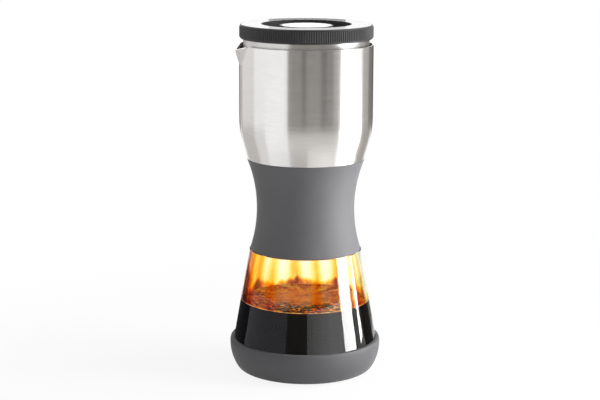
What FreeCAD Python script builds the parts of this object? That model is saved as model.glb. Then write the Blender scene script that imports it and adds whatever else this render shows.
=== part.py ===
# A coffee maker for cold brew, with a steel brew chamber above a glass carafe.
#
# Grounds and water steep in the brew chamber, which hangs inside a steel shell.
# Twisting the chamber turns a plug in the neck: its ports line up with those of
# a fixed cup, and the coffee runs down the inside of the glass in eight streams.
# Tilted, it flows back up between the shell and the chamber, and out of the spout.
#
# Millimetres. +Z is up, the floor is Z = 0, the axis is X = Y = 0, the spout
# points to -X, and the valve is open, as it is while the coffee runs.

import FreeCAD
import Part
import os
import re
import Sketcher

Vector = FreeCAD.Vector
PARTS_FOLDER = "parts"
FILTER_SLOT_RINGS = range(2, 6)

# Driving sizes: name, millimetres (or degrees, or a count), what it is.
SIZES = [
    ("total_height", 270.0, "floor to the top of the lid"),
    # Silicone boot under the carafe
    ("boot_wall", 2.4, "silicone outside the glass where the boot is widest"),
    ("boot_widest_height", 21.0, "height where the boot is widest"),
    ("boot_draw_in", 10.7, "how far the flat foot lies inside the widest part"),
    ("boot_corner", 6.5, "round at the edge of the foot"),
    ("boot_rim_height", 27.8, "top of the boot"),
    ("boot_rim_curve", 21.0, "curve that draws the boot in to its rim"),
    ("boot_rim_round", 0.7, "rounding of the boot's lip"),
    ("boot_floor", 4.0, "silicone under the glass"),
    ("skin_gap", 0.1, "room between a silicone skin and what it is stretched over"),
    # Glass carafe
    ("glass_radius", 43.4, "outside of the glass at the sleeve's lower edge"),
    ("glass_taper", 9.8, "degrees that the glass flares"),
    ("glass_heel", 14.0, "outer round between the glass wall and its floor"),
    ("glass_wall", 2.5, "glass thickness"),
    ("glass_floor", 3.0, "thickness of the glass floor"),
    ("neck_height", 13.5, "shoulder of the glass to the top of its neck"),
    ("glass_shoulder_round", 3.0, "outer round of that shoulder"),
    ("bead_overhang", 1.8, "bead of the glass outside its neck"),
    ("bead_room", 1.3, "bead to the outside of the collar"),
    ("glass_bead_height", 4.0, "height of the bead"),
    ("glass_height", 125.5, "top of the glass"),
    # Silicone grip sleeve, a waist drawn with one arc
    ("sleeve_bottom", 95.6, "lower edge of the sleeve"),
    ("sleeve_top", 167.0, "upper edge of the sleeve"),
    ("sleeve_wall", 1.8, "thickness of the sleeve"),
    ("sleeve_edge_round", 0.5, "rounding of the sleeve's edges"),
    ("waist_radius", 37.8, "sleeve at its narrowest"),
    ("waist_height", 128.0, "height of the waist"),
    ("waist_curve", 103.0, "radius of the waist's hollow curve"),
    # Steel outer shell
    ("shell_radius", 51.25, "outside of the shell"),
    ("rim_gap", 4.4, "shell's rim to the lid's edge"),
    ("shell_sheet", 0.8, "steel thickness of the shell"),
    ("shell_bend_height", 199.0, "height where the straight wall ends"),
    ("shell_bend", 74.8, "radius of the shell's shoulder"),
    ("shell_taper", 15.5, "degrees that the shell draws in under the shoulder"),
    ("nut_room", 0.3, "neck nut to the sleeve"),
    ("collar_height", 9.0, "height of that collar"),
    ("neck_ledge", 2.4, "shell's foot inside the outside of the glass neck"),
    # Pouring spout, raised from the shell's rim
    ("spout_reach", 4.55, "nose beyond the shell's wall, at the height of the rim"),
    ("spout_mid_reach", 3.05, "nose beyond the wall, halfway down"),
    ("spout_foot_reach", -0.35, "nose beyond the wall, where it runs out in it"),
    ("spout_half_width", 16.3, "half the spout's width at the rim"),
    ("spout_mid_half_width", 11.0, "half the spout's width halfway down"),
    ("spout_foot_half_width", 5.0, "half the spout's width where it runs out"),
    ("spout_height", 17.0, "rim to where the spout runs out"),
    ("spout_mid_height", 7.0, "rim to the middle outline"),
    ("spout_nose_round", 5.0, "round of the nose, seen from above"),
    ("spout_nose_half_width", 2.0, "half the width of that round"),
    ("spout_dip", 3.8, "how far the lip drops under the rim"),
    # Clamped stack in the neck
    ("neck_gasket_height", 1.5, "gasket between the glass and the valve cup"),
    ("cup_ring_height", 2.0, "thickness of the valve cup's outer ring"),
    ("flange_gasket_height", 1.0, "gasket between the valve cup and the shell"),
    ("nut_wall", 1.2, "neck nut outside the collar"),
    ("nut_lip_height", 2.0, "lip under the split ring"),
    ("nut_lip_clearance", 0.3, "lets the nut slip over the glass bead"),
    ("nut_gap", 0.5, "nut's top to the shell above it"),
    ("thread_clearance", 0.1, "nut to collar"),
    ("nut_notch_count", 8.0, "spanner notches round the neck nut"),
    ("nut_notch_width", 5.0, "width of a notch"),
    ("nut_notch_height", 3.0, "height of a notch"),
    ("split_ring_height", 2.2, "height of the split ring"),
    ("split_ring_gap", 3.0, "slit that lets the ring spring over the bead"),
    # Valve
    ("pour_channel", 5.6, "cup to the glass neck, where coffee is poured back up"),
    ("cup_wall", 1.8, "wall of the valve cup"),
    ("cup_drop", 11.5, "underside of the cup, under its ring"),
    ("cup_floor", 2.0, "floor of the valve cup"),
    ("cup_rise", 14.0, "mouth of the cup, over the underside of its ring"),
    ("spoke_count", 4.0, "arms that hold the cup in the neck"),
    ("spoke_width", 3.0, "width of an arm"),
    ("spoke_height", 5.0, "height of an arm"),
    ("port_count", 8.0, "ports round the valve"),
    ("port_width", 7.4, "width of a port"),
    ("port_height", 5.0, "height of a port"),
    ("port_rise", 4.0, "lower edge of the ports, over the floor of the cup"),
    ("valve_clearance", 0.1, "plug to cup, all round"),
    ("plug_wall", 2.8, "wall of the plug"),
    ("plug_floor", 1.6, "floor of the plug"),
    ("plug_stand", 2.0, "top of the plug, which carries the chamber, over the cup's mouth"),
    ("o_ring_thickness", 1.8, "section of the plug's o-rings"),
    ("o_ring_squeeze", 0.06, "o-ring's outside to the bore"),
    ("o_ring_room", 0.15, "o-ring to the sides of its groove"),
    ("lower_o_ring_rise", 1.7, "middle of the lower o-ring, over the plug's bottom"),
    ("upper_o_ring_rise", 3.0, "middle of the upper o-ring, over the ports"),
    ("dog_count", 4.0, "driving dogs, and the slots they drop into"),
    ("dog_width", 5.0, "width of a dog's slot"),
    ("dog_depth", 4.0, "depth of a dog's slot"),
    ("dog_clearance", 0.15, "dog to slot"),
    # Brew chamber
    ("pour_gap", 3.25, "outside of the chamber to the outside of the shell"),
    ("chamber_sheet", 0.8, "steel thickness of the chamber"),
    ("chamber_bend_lift", 1.0, "chamber's shoulder, over the shell's"),
    ("chamber_bend", 62.0, "radius of its shoulder"),
    ("chamber_taper", 19.3, "degrees that it draws in under the shoulder"),
    ("sump_height", 12.0, "chamber's floor to the ledge that carries the filter"),
    ("sump_room", 3.8, "outside of the sump to the outside of the waist"),
    ("sump_round", 4.0, "round at the bottom of the sump"),
    ("chamber_rim_overhang", 1.0, "flange round the chamber's mouth"),
    ("rim_cover", 2.8, "how far the lid reaches down over that flange"),
    # Drain fitting through the chamber's floor
    ("drain_step", 1.2, "drain's hole inside the hole of the tail"),
    ("drain_wall", 2.0, "wall of the threaded neck round the drain"),
    ("tail_clearance", 0.2, "drain tail to plug"),
    ("tail_wall", 3.2, "wall of the drain tail"),
    ("tail_length", 12.0, "length of the tail under the plug's top"),
    ("drain_flange_width", 5.2, "flange outside the threaded neck, under the chamber's floor"),
    ("drain_flange_height", 2.2, "thickness of that flange"),
    ("floor_hole_clearance", 0.1, "chamber's floor to the threaded neck"),
    ("washer_height", 1.0, "silicone washer on the chamber's floor"),
    ("drain_nut_width", 4.5, "corner of the drain nut outside the threaded neck"),
    ("drain_nut_height", 4.0, "height of the drain nut"),
    ("tail_seal_rise", 3.5, "middle of the tail's seal, over its lower end"),
    # Filter
    ("filter_gasket_height", 2.0, "silicone ring between the ledge and the filter"),
    ("filter_gasket_width", 1.8, "width of that ring"),
    ("filter_margin", 0.5, "filter frame inside the outside of the chamber at its ledge"),
    ("filter_frame_height", 3.0, "height of the frame's rim"),
    ("filter_rim_width", 3.6, "width of the frame's rim"),
    ("filter_rim_lip", 1.1, "lip of that rim outside the plates"),
    ("filter_arm_height", 1.6, "height of the frame's arms"),
    ("filter_arm_width", 2.6, "width of an arm"),
    ("filter_arm_count", 6.0, "arms of the frame"),
    ("filter_hub_radius", 6.0, "hub of the frame"),
    ("fine_filter_height", 0.3, "thickness of the woven mesh"),
    ("coarse_filter_height", 0.5, "thickness of the cut plate"),
    ("filter_inset", 0.15, "plate's edge to the frame"),
    ("filter_slot_length", 4.6, "slots cut through the plate, along its radius"),
    ("filter_slot_width", 0.8, "width of a slot"),
    ("filter_slot_pitch", 6.2, "ring to ring of those slots"),
    ("filter_slot_step", 8.0, "how many more slots each further ring has"),
    ("knob_radius", 7.5, "filter knob"),
    ("knob_stem_radius", 4.0, "stem of the filter knob"),
    ("knob_height", 13.0, "height of the filter knob"),
    ("knob_head_height", 5.0, "height of its head"),
    ("screw_radius", 1.5, "shank of the filter screw"),
    ("screw_head_radius", 3.2, "head of the filter screw"),
    ("screw_head_height", 1.6, "height of that head"),
    ("screw_length", 9.0, "length of the shank"),
    ("screw_clearance", 0.1, "shank to its hole"),
    # Lid
    ("lid_inset", 0.15, "ribs of the lid inside the outside of the shell"),
    ("lid_height", 10.8, "height of the lid's edge"),
    ("lid_skirt_wall", 1.8, "wall of the skirt over the chamber's flange"),
    ("lid_wall", 2.2, "wall of the lid elsewhere"),
    ("lid_edge_round", 1.0, "round of the lid's top edge"),
    ("lid_foot_chamfer", 0.5, "chamfer under the lid's edge"),
    ("finger_ring_outer", 34.5, "outside of the groove for the fingers"),
    ("finger_ring_inner", 20.5, "inside of that groove, which is the knob"),
    ("finger_ring_depth", 7.4, "depth of the groove"),
    ("finger_ring_round", 1.2, "round of the groove's edges"),
    ("lid_knob_drop", 1.0, "how far the knob lies under the lid's top"),
    ("disc_margin", 1.3, "knob's wall round the disc"),
    ("lid_disc_height", 1.0, "thickness of that disc"),
    ("disc_clearance", 0.1, "disc to its recess"),
    ("knurl_count", 180.0, "ribs round the lid"),
    ("knurl_depth", 0.5, "depth of the valleys between the ribs"),
    ("knurl_crest", 0.4, "width of the top of a rib"),
    ("knurl_step", 0.1, "plain bands, below the bottoms of the valleys"),
    ("knurl_land", 1.4, "plain band above and below the ribs"),
    ("liner_clearance", 0.9, "lid's liner to the chamber's wall"),
    ("liner_depth", 9.0, "how far the liner reaches into the chamber"),
    ("liner_wall", 2.0, "wall of the liner"),
    ("lid_gasket_height", 3.4, "height of the lid's gasket"),
    ("lid_gasket_seat", 1.2, "depth of its groove in the liner"),
    ("lid_gasket_web", 0.9, "thickness of the gasket's web"),
    ("lid_gasket_fin", 0.8, "height of each of its two lips"),
    ("seal_clearance", 0.1, "lip to the chamber's wall"),
]

# Places that follow from the driving sizes, in the order in which they build up.
PLACES = [
    ("glass_shoulder_height", "glass_height - neck_height"),
    ("nut_radius", "waist_radius - sleeve_wall - nut_room"),
    ("collar_radius", "nut_radius - nut_wall"),
    ("glass_bead_radius", "collar_radius - bead_room"),
    ("glass_neck_radius", "glass_bead_radius - bead_overhang"),
    ("waist_centre", "waist_radius + waist_curve"),
    ("sleeve_inner_curve", "waist_curve + sleeve_wall"),
    ("core_curve", "sleeve_inner_curve + skin_gap"),
    ("glass_slope", "tan(glass_taper)"),
    ("boot_radius", "glass_radius + (sleeve_bottom - boot_widest_height) * glass_slope + boot_wall"),
    ("boot_foot_radius", "boot_radius - boot_draw_in"),
    ("glass_thick_across", "glass_wall / cos(glass_taper)"),
    ("glass_inner_heel", "glass_heel - glass_wall"),
    ("heel_tangent_height", "boot_floor + glass_heel * (1 + sin(glass_taper))"),
    ("heel_tangent_radius", "glass_radius + (sleeve_bottom - heel_tangent_height) * glass_slope"),
    ("heel_centre_radius", "heel_tangent_radius - glass_heel * cos(glass_taper)"),
    ("inner_floor_height", "boot_floor + glass_floor"),
    ("inner_tangent_height", "inner_floor_height + glass_inner_heel * (1 + sin(glass_taper))"),
    ("inner_tangent_radius",
     "glass_radius + (sleeve_bottom - inner_tangent_height) * glass_slope - glass_thick_across"),
    ("inner_heel_radius", "inner_tangent_radius - glass_inner_heel * cos(glass_taper)"),
    ("glass_ledge_height", "sleeve_bottom - skin_gap"),
    ("glass_waist_foot", "waist_centre - sqrt(core_curve ^ 2 - (glass_ledge_height - waist_height) ^ 2)"),
    ("glass_shoulder_radius",
     "waist_centre - sqrt(core_curve ^ 2 - (glass_shoulder_height - waist_height) ^ 2)"),
    ("glass_inner_curve", "core_curve + glass_wall"),
    ("glass_inner_shoulder", "glass_shoulder_height - glass_wall"),
    ("glass_inner_shoulder_radius",
     "waist_centre - sqrt(glass_inner_curve ^ 2 - (glass_inner_shoulder - waist_height) ^ 2)"),
    ("glass_step_top", "glass_ledge_height + glass_wall / 2"),
    ("glass_step_top_radius",
     "waist_centre - sqrt(glass_inner_curve ^ 2 - (glass_step_top - waist_height) ^ 2)"),
    ("glass_step_foot", "glass_ledge_height - glass_wall"),
    ("glass_neck_inner", "glass_neck_radius - glass_wall"),
    ("neck_opening", "glass_neck_radius - neck_ledge"),
    ("cup_ring_bottom", "glass_height + neck_gasket_height"),
    ("shell_foot", "cup_ring_bottom + cup_ring_height + flange_gasket_height"),
    ("collar_top", "shell_foot + collar_height"),
    ("shell_rim_height", "total_height - lid_height - rim_gap"),
    ("shell_cone_radius", "shell_radius - shell_bend * (1 - cos(shell_taper))"),
    ("shell_cone_height", "shell_bend_height - shell_bend * sin(shell_taper)"),
    ("shell_ledge", "sleeve_top + skin_gap"),
    ("shell_ledge_radius",
     "shell_cone_radius - (shell_cone_height - shell_ledge) * tan(shell_taper)"),
    ("shell_ledge_foot", "waist_centre - sqrt(core_curve ^ 2 - (shell_ledge - waist_height) ^ 2)"),
    ("shell_waist_foot", "waist_centre - sqrt(core_curve ^ 2 - (collar_top - waist_height) ^ 2)"),
    ("shell_inner_bend", "shell_bend - shell_sheet"),
    ("shell_inner_curve", "core_curve + shell_sheet"),
    ("shell_inner_ledge", "shell_ledge + shell_sheet"),
    ("shell_inner_collar_top", "collar_top + shell_sheet"),
    ("chamber_rim", "total_height - lid_height + rim_cover"),
    ("plug_top", "cup_ring_bottom + cup_rise + plug_stand"),
    ("chamber_floor", "plug_top + drain_flange_height"),
    ("chamber_radius", "shell_radius - pour_gap"),
    ("chamber_bend_height", "shell_bend_height + chamber_bend_lift"),
    ("ledge_height", "chamber_floor + sump_height"),
    ("sump_radius", "waist_radius - sump_room"),
    ("chamber_cone_radius", "chamber_radius - chamber_bend * (1 - cos(chamber_taper))"),
    ("chamber_cone_height", "chamber_bend_height - chamber_bend * sin(chamber_taper)"),
    ("ledge_radius",
     "chamber_cone_radius - (chamber_cone_height - ledge_height) * tan(chamber_taper)"),
    ("ledge_top", "ledge_height + chamber_sheet"),
    ("chamber_thick_across", "chamber_sheet / cos(chamber_taper)"),
    ("sump_inner", "sump_radius - chamber_sheet"),
    ("cup_bore", "glass_neck_inner - pour_channel - cup_wall"),
    ("cup_bottom", "cup_ring_bottom - cup_drop"),
    ("cup_top", "cup_ring_bottom + cup_rise"),
    ("port_bottom", "cup_bottom + cup_floor + port_rise"),
    ("plug_radius", "cup_bore - valve_clearance"),
    ("plug_bore", "plug_radius - plug_wall"),
    ("plug_bottom", "cup_bottom + cup_floor + valve_clearance"),
    ("lower_o_ring_height", "plug_bottom + lower_o_ring_rise"),
    ("upper_o_ring_height", "port_bottom + port_height + upper_o_ring_rise"),
    ("o_ring_centre", "cup_bore - o_ring_squeeze - o_ring_thickness / 2"),
    ("o_ring_groove", "o_ring_centre - o_ring_thickness / 2 - o_ring_squeeze"),
    ("tail_radius", "plug_bore - tail_clearance"),
    ("tail_bottom", "plug_top - tail_length"),
    ("tail_seal_height", "tail_bottom + tail_seal_rise"),
    ("tail_seal_centre", "plug_bore - o_ring_squeeze - o_ring_thickness / 2"),
    ("tail_seal_groove", "tail_seal_centre - o_ring_thickness / 2 - o_ring_squeeze"),
    ("drain_bore", "tail_radius - tail_wall - drain_step"),
    ("drain_thread_radius", "drain_bore + drain_wall"),
    ("drain_flange_radius", "drain_thread_radius + drain_flange_width"),
    ("drain_nut_radius", "drain_thread_radius + drain_nut_width"),
    ("washer_bottom", "chamber_floor + chamber_sheet"),
    ("drain_nut_bottom", "washer_bottom + washer_height"),
    ("drain_nut_top", "drain_nut_bottom + drain_nut_height"),
    ("filter_radius", "ledge_radius - filter_margin"),
    ("filter_bottom", "ledge_top + filter_gasket_height"),
    ("fine_filter_bottom", "filter_bottom + filter_arm_height"),
    ("coarse_filter_bottom", "fine_filter_bottom + fine_filter_height"),
    ("knob_bottom", "coarse_filter_bottom + coarse_filter_height"),
    ("filter_plate_radius", "filter_radius - filter_rim_lip - filter_inset"),
    ("lid_radius", "shell_radius - lid_inset"),
    ("lid_bottom", "total_height - lid_height"),
    ("liner_radius", "chamber_radius - chamber_sheet - liner_clearance"),
    ("liner_bottom", "chamber_rim - liner_depth"),
    ("liner_top", "total_height - lid_wall"),
    ("groove_floor", "total_height - finger_ring_depth"),
    ("lid_knob_top", "total_height - lid_knob_drop"),
    ("lid_disc_radius", "finger_ring_inner - disc_margin"),
    ("disc_seat", "lid_knob_top - lid_disc_height"),
    ("lid_gasket_bottom", "liner_bottom + liner_wall"),
    ("lid_gasket_top", "lid_gasket_bottom + lid_gasket_height"),
]

doc = FreeCAD.newDocument("CoffeeMaker")
sheet = doc.addObject("Spreadsheet::Sheet", "Sizes")
NAMES = set()
WORD = re.compile(r"[a-z][a-z_]*")


def bound(text):
    """An expression in size names, written so that it reads the sheet."""
    return WORD.sub(lambda word: "Sizes." + word[0] if word[0] in NAMES else word[0], text)


def number(text):
    """What an expression in size names comes to now."""
    return float(sheet.evalExpression(bound(text)))


def fill_sheet():
    """Write the driving sizes as plain numbers, and the places as formulas under them."""
    row = 0
    for name, size, meaning in SIZES:
        row += 1
        sheet.set(f"A{row}", meaning)
        sheet.set(f"B{row}", str(size))
        sheet.setAlias(f"B{row}", name)
        NAMES.add(name)
    for name, formula in PLACES:
        row += 1
        sheet.set(f"A{row}", formula)
        sheet.set(f"B{row}", "=" + formula)
        sheet.setAlias(f"B{row}", name)
        NAMES.add(name)
    doc.recompute()


def origin_feature(body, role):
    """A body's own origin plane or axis."""
    return next(item for item in body.Origin.OriginFeatures if item.Role == role)


def new_body(label):
    """An empty body whose label is the piece's name."""
    body = doc.addObject("PartDesign::Body", label.title().replace("_", ""))
    body.Label = label
    return body


def new_sketch(body, name, role="XZ_Plane", height=None, turn=None):
    """A sketch on an origin plane, lifted by a height or turned about Z in degrees."""
    sketch = body.newObject("Sketcher::SketchObject", name)
    sketch.AttachmentSupport = [(origin_feature(body, role), "")]
    sketch.MapMode = "FlatFace"
    if height is not None:
        sketch.setExpression("AttachmentOffset.Base.z", bound(height))
    if turn is not None:
        sketch.AttachmentOffset = FreeCAD.Placement(Vector(), FreeCAD.Rotation(Vector(0, 1, 0), 1))
        sketch.setExpression("AttachmentOffset.Rotation.Angle", bound(turn))
    return sketch


def fix_point(sketch, edge, end, across, along):
    """Tie one end of an edge to the sheet, measured from the sketch's origin."""
    for kind, text, axis in (("DistanceX", across, -2), ("DistanceY", along, -1)):
        if text == "0":
            sketch.addConstraint(Sketcher.Constraint("PointOnObject", edge, end, axis))
        else:
            label = f"{kind[-1].lower()}{edge}"
            index = sketch.addConstraint(Sketcher.Constraint(kind, -1, 1, edge, end, number(text)))
            sketch.renameConstraint(index, label)
            sketch.setExpression("Constraints." + label, bound(text))


def arc_between(start, end, bend):
    """The arc from start to end; a positive bend turns left, a negative one right."""
    chord = end - start
    half = chord.Length / 2
    side = Vector(-chord.y, chord.x, 0).normalize()
    rise = (bend ** 2 - half ** 2) ** 0.5
    centre = start + chord / 2 + side * (rise if bend > 0 else -rise)
    first, last = (start, end) if bend > 0 else (end, start)
    x_axis = Vector(1, 0, 0)
    angles = [x_axis.getAngle(point - centre) * (1 if point.y >= centre.y else -1)
              for point in (first, last)]
    return Part.ArcOfCircle(Part.Circle(centre, Vector(0, 0, 1), abs(bend)), angles[0], angles[1])


def draw_outline(sketch, corners):
    """Close an outline. A corner is (across, along), or (across, along, bend) before an arc."""
    points = [Vector(number(corner[0]), number(corner[1]), 0) for corner in corners]
    ends = []
    for index, corner in enumerate(corners):
        start, end = points[index], points[(index + 1) % len(points)]
        if len(corner) == 2:
            edge = sketch.addGeometry(Part.LineSegment(start, end))
            ends.append((edge, 1, 2))
        else:
            bend = number(corner[2])
            edge = sketch.addGeometry(arc_between(start, end, bend))
            ends.append((edge, 1, 2) if bend > 0 else (edge, 2, 1))
            size = sketch.addConstraint(Sketcher.Constraint("Radius", edge, abs(bend)))
            sketch.renameConstraint(size, f"bend{edge}")
            sketch.setExpression(f"Constraints.bend{edge}", bound(corner[2].lstrip("-")))
    for index, (edge, first, last) in enumerate(ends):
        following, start, _ = ends[(index + 1) % len(ends)]
        sketch.addConstraint(Sketcher.Constraint("Coincident", edge, last, following, start))
    for (edge, first, _), corner in zip(ends, corners):
        fix_point(sketch, edge, first, corner[0], corner[1])


def draw_circle(sketch, across, along, radius):
    """A circle tied to the sheet by its centre and radius."""
    centre = Vector(number(across), number(along), 0)
    edge = sketch.addGeometry(Part.Circle(centre, Vector(0, 0, 1), number(radius)))
    fix_point(sketch, edge, 3, across, along)
    size = sketch.addConstraint(Sketcher.Constraint("Radius", edge, number(radius)))
    sketch.renameConstraint(size, f"size{edge}")
    sketch.setExpression(f"Constraints.size{edge}", bound(radius))


def turn_profile(body, name, kind, corners):
    """Turn an outline of (radius, height) corners about Z, as a Revolution or a Groove."""
    sketch = new_sketch(body, name + "_outline")
    draw_outline(sketch, corners)
    feature = body.newObject("PartDesign::" + kind, name)
    feature.Profile = sketch
    feature.ReferenceAxis = (sketch, ["V_Axis"])
    feature.Angle = 360
    return feature


def lathe(label, corners):
    """A body turned from one outline."""
    body = new_body(label)
    turn_profile(body, label + "_turned", "Revolution", corners)
    return body


def cut(body, name, sketch, length=None, reverse=False, both_ways=False):
    """Pocket a sketch, through everything unless a length is given."""
    pocket = body.newObject("PartDesign::Pocket", name)
    pocket.Profile = sketch
    pocket.Reversed = reverse
    pocket.Midplane = both_ways
    if length is None:
        pocket.Type = "ThroughAll"
    else:
        pocket.setExpression("Length", bound(length))
    return pocket


def raise_pad(body, name, sketch, length, reverse=False):
    """Pad a sketch by a length."""
    pad = body.newObject("PartDesign::Pad", name)
    pad.Profile = sketch
    pad.Reversed = reverse
    pad.setExpression("Length", bound(length))
    return pad


def repeat_round(body, name, feature, count):
    """Repeat a feature evenly about Z."""
    pattern = body.newObject("PartDesign::PolarPattern", name)
    pattern.Originals = [feature]
    pattern.Axis = (origin_feature(body, "Z_Axis"), [""])
    pattern.Angle = 360
    pattern.setExpression("Occurrences", bound(count))
    body.Tip = pattern
    return pattern


def ring_edges(shape, rings):
    """Names of the circular edges about Z at the given (radius, height) pairs."""
    wanted = [(number(radius), number(height)) for radius, height in rings]
    names = []
    for index, edge in enumerate(shape.Edges, 1):
        if not isinstance(edge.Curve, Part.Circle):
            continue
        for radius, height in wanted:
            if abs(edge.Curve.Radius - radius) < 0.01 and abs(edge.Curve.Center.z - height) < 0.01:
                names.append(f"Edge{index}")
    return names


def soften(body, name, kind, size, rings):
    """Fillet or chamfer a body's circular edges."""
    doc.recompute()
    base = body.Tip
    feature = body.newObject("PartDesign::" + kind, name)
    feature.Base = (base, ring_edges(base.Shape, rings))
    feature.setExpression("Radius" if kind == "Fillet" else "Size", bound(size))
    return feature


def rectangle(low_across, low_along, high_across, high_along):
    """Corners of a rectangle, counter-clockwise."""
    return [(low_across, low_along), (high_across, low_along),
            (high_across, high_along), (low_across, high_along)]


# Vessel: everything that stands still

def make_base_boot():
    """Silicone bowl that the carafe stands in."""
    side = "((boot_radius - boot_foot_radius) ^ 2 + (boot_widest_height - boot_corner) ^ 2" \
           " - boot_corner ^ 2) / (2 * (boot_radius - boot_foot_radius - boot_corner))"
    share = f"(({side}) / (({side}) - boot_corner))"
    meet_across = f"boot_radius - ({side}) + {share} * (boot_foot_radius - boot_radius + ({side}))"
    meet_along = f"boot_widest_height + {share} * (boot_corner - boot_widest_height)"
    rim = "boot_radius - boot_rim_curve" \
          " + sqrt(boot_rim_curve ^ 2 - (boot_rim_height - boot_widest_height) ^ 2)"
    body = lathe("base_boot", [
        ("0", "0"),
        ("boot_foot_radius", "0", "boot_corner"),
        (meet_across, meet_along, side),
        ("boot_radius", "boot_widest_height", "boot_rim_curve"),
        (rim, "boot_rim_height"),
        ("glass_radius + (sleeve_bottom - boot_rim_height) * glass_slope + skin_gap", "boot_rim_height"),
        ("heel_tangent_radius + skin_gap", "heel_tangent_height", "-(glass_heel + skin_gap)"),
        ("heel_centre_radius", "boot_floor - skin_gap"),
        ("0", "boot_floor - skin_gap"),
    ])
    soften(body, "boot_lip", "Fillet", "boot_rim_round", [(rim, "boot_rim_height")])
    return body


def make_glass_carafe():
    """Flared glass vessel with a beaded neck, waisted under the sleeve."""
    body = lathe("glass_carafe", [
        ("0", "boot_floor"),
        ("heel_centre_radius", "boot_floor", "glass_heel"),
        ("heel_tangent_radius", "heel_tangent_height"),
        ("glass_radius", "glass_ledge_height"),
        ("glass_waist_foot", "glass_ledge_height", "-core_curve"),
        ("glass_shoulder_radius", "glass_shoulder_height", "glass_shoulder_round"),
        ("glass_shoulder_radius - glass_shoulder_round", "glass_shoulder_height + glass_shoulder_round"),
        ("glass_neck_radius", "glass_shoulder_height + glass_shoulder_round"),
        ("glass_neck_radius", "glass_height - glass_bead_height"),
        ("glass_bead_radius", "glass_height - glass_bead_height"),
        ("glass_bead_radius", "glass_height"),
        ("glass_neck_inner", "glass_height"),
        ("glass_neck_inner", "glass_inner_shoulder + glass_shoulder_round"),
        ("glass_inner_shoulder_radius - glass_shoulder_round",
         "glass_inner_shoulder + glass_shoulder_round", "-glass_shoulder_round"),
        ("glass_inner_shoulder_radius", "glass_inner_shoulder", "glass_inner_curve"),
        ("glass_step_top_radius", "glass_step_top"),
        ("glass_radius + (sleeve_bottom - glass_step_foot) * glass_slope - glass_thick_across",
         "glass_step_foot"),
        ("inner_tangent_radius", "inner_tangent_height", "-glass_inner_heel"),
        ("inner_heel_radius", "inner_floor_height"),
        ("0", "inner_floor_height"),
    ])
    return body


def make_grip_sleeve():
    """Waisted silicone sleeve over the joint of glass and steel."""
    def outer(height):
        return f"waist_centre - sqrt(waist_curve ^ 2 - ({height} - waist_height) ^ 2)"

    def inner(height):
        return f"waist_centre - sqrt(sleeve_inner_curve ^ 2 - ({height} - waist_height) ^ 2)"

    body = lathe("grip_sleeve", [
        (inner("sleeve_bottom"), "sleeve_bottom"),
        (outer("sleeve_bottom"), "sleeve_bottom", "-waist_curve"),
        (outer("sleeve_top"), "sleeve_top"),
        (inner("sleeve_top"), "sleeve_top", "sleeve_inner_curve"),
    ])
    soften(body, "sleeve_edges", "Fillet", "sleeve_edge_round",
           [(outer("sleeve_bottom"), "sleeve_bottom"), (outer("sleeve_top"), "sleeve_top")])
    return body


def spout_outline(body, name, height, reach, half_width, inset):
    """One level outline of the spout, drawn in by inset for the inside of the sheet."""
    sketch = new_sketch(body, name, "XY_Plane", height)
    nose = f"shell_radius + {reach} - {inset} - spout_nose_round" \
           " + sqrt(spout_nose_round ^ 2 - spout_nose_half_width ^ 2)"
    root = f"sqrt(shell_radius ^ 2 - {half_width} ^ 2) - {inset}"
    wide = f"{half_width} - {inset}"
    draw_outline(sketch, [
        (f"-({nose})", "spout_nose_half_width", "spout_nose_round"),
        (f"-({nose})", "-spout_nose_half_width"),
        (f"-({root})", f"-({wide})"),
        ("-shell_radius / 2", f"-({wide})"),
        ("-shell_radius / 2", wide),
        (f"-({root})", wide),
    ])
    return sketch


def spout_loft(body, name, kind, inset):
    """The spout's outside or inside, lofted through three level outlines."""
    levels = [
        spout_outline(body, name + "_foot", "shell_rim_height - spout_height",
                      "spout_foot_reach", "spout_foot_half_width", inset),
        spout_outline(body, name + "_middle", "shell_rim_height - spout_mid_height",
                      "spout_mid_reach", "spout_mid_half_width", inset),
        spout_outline(body, name + "_rim", "shell_rim_height", "spout_reach", "spout_half_width", inset),
    ]
    loft = body.newObject("PartDesign::" + kind, name)
    loft.Profile = levels[0]
    loft.Sections = levels[1:]
    loft.Ruled = False
    return loft


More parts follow.
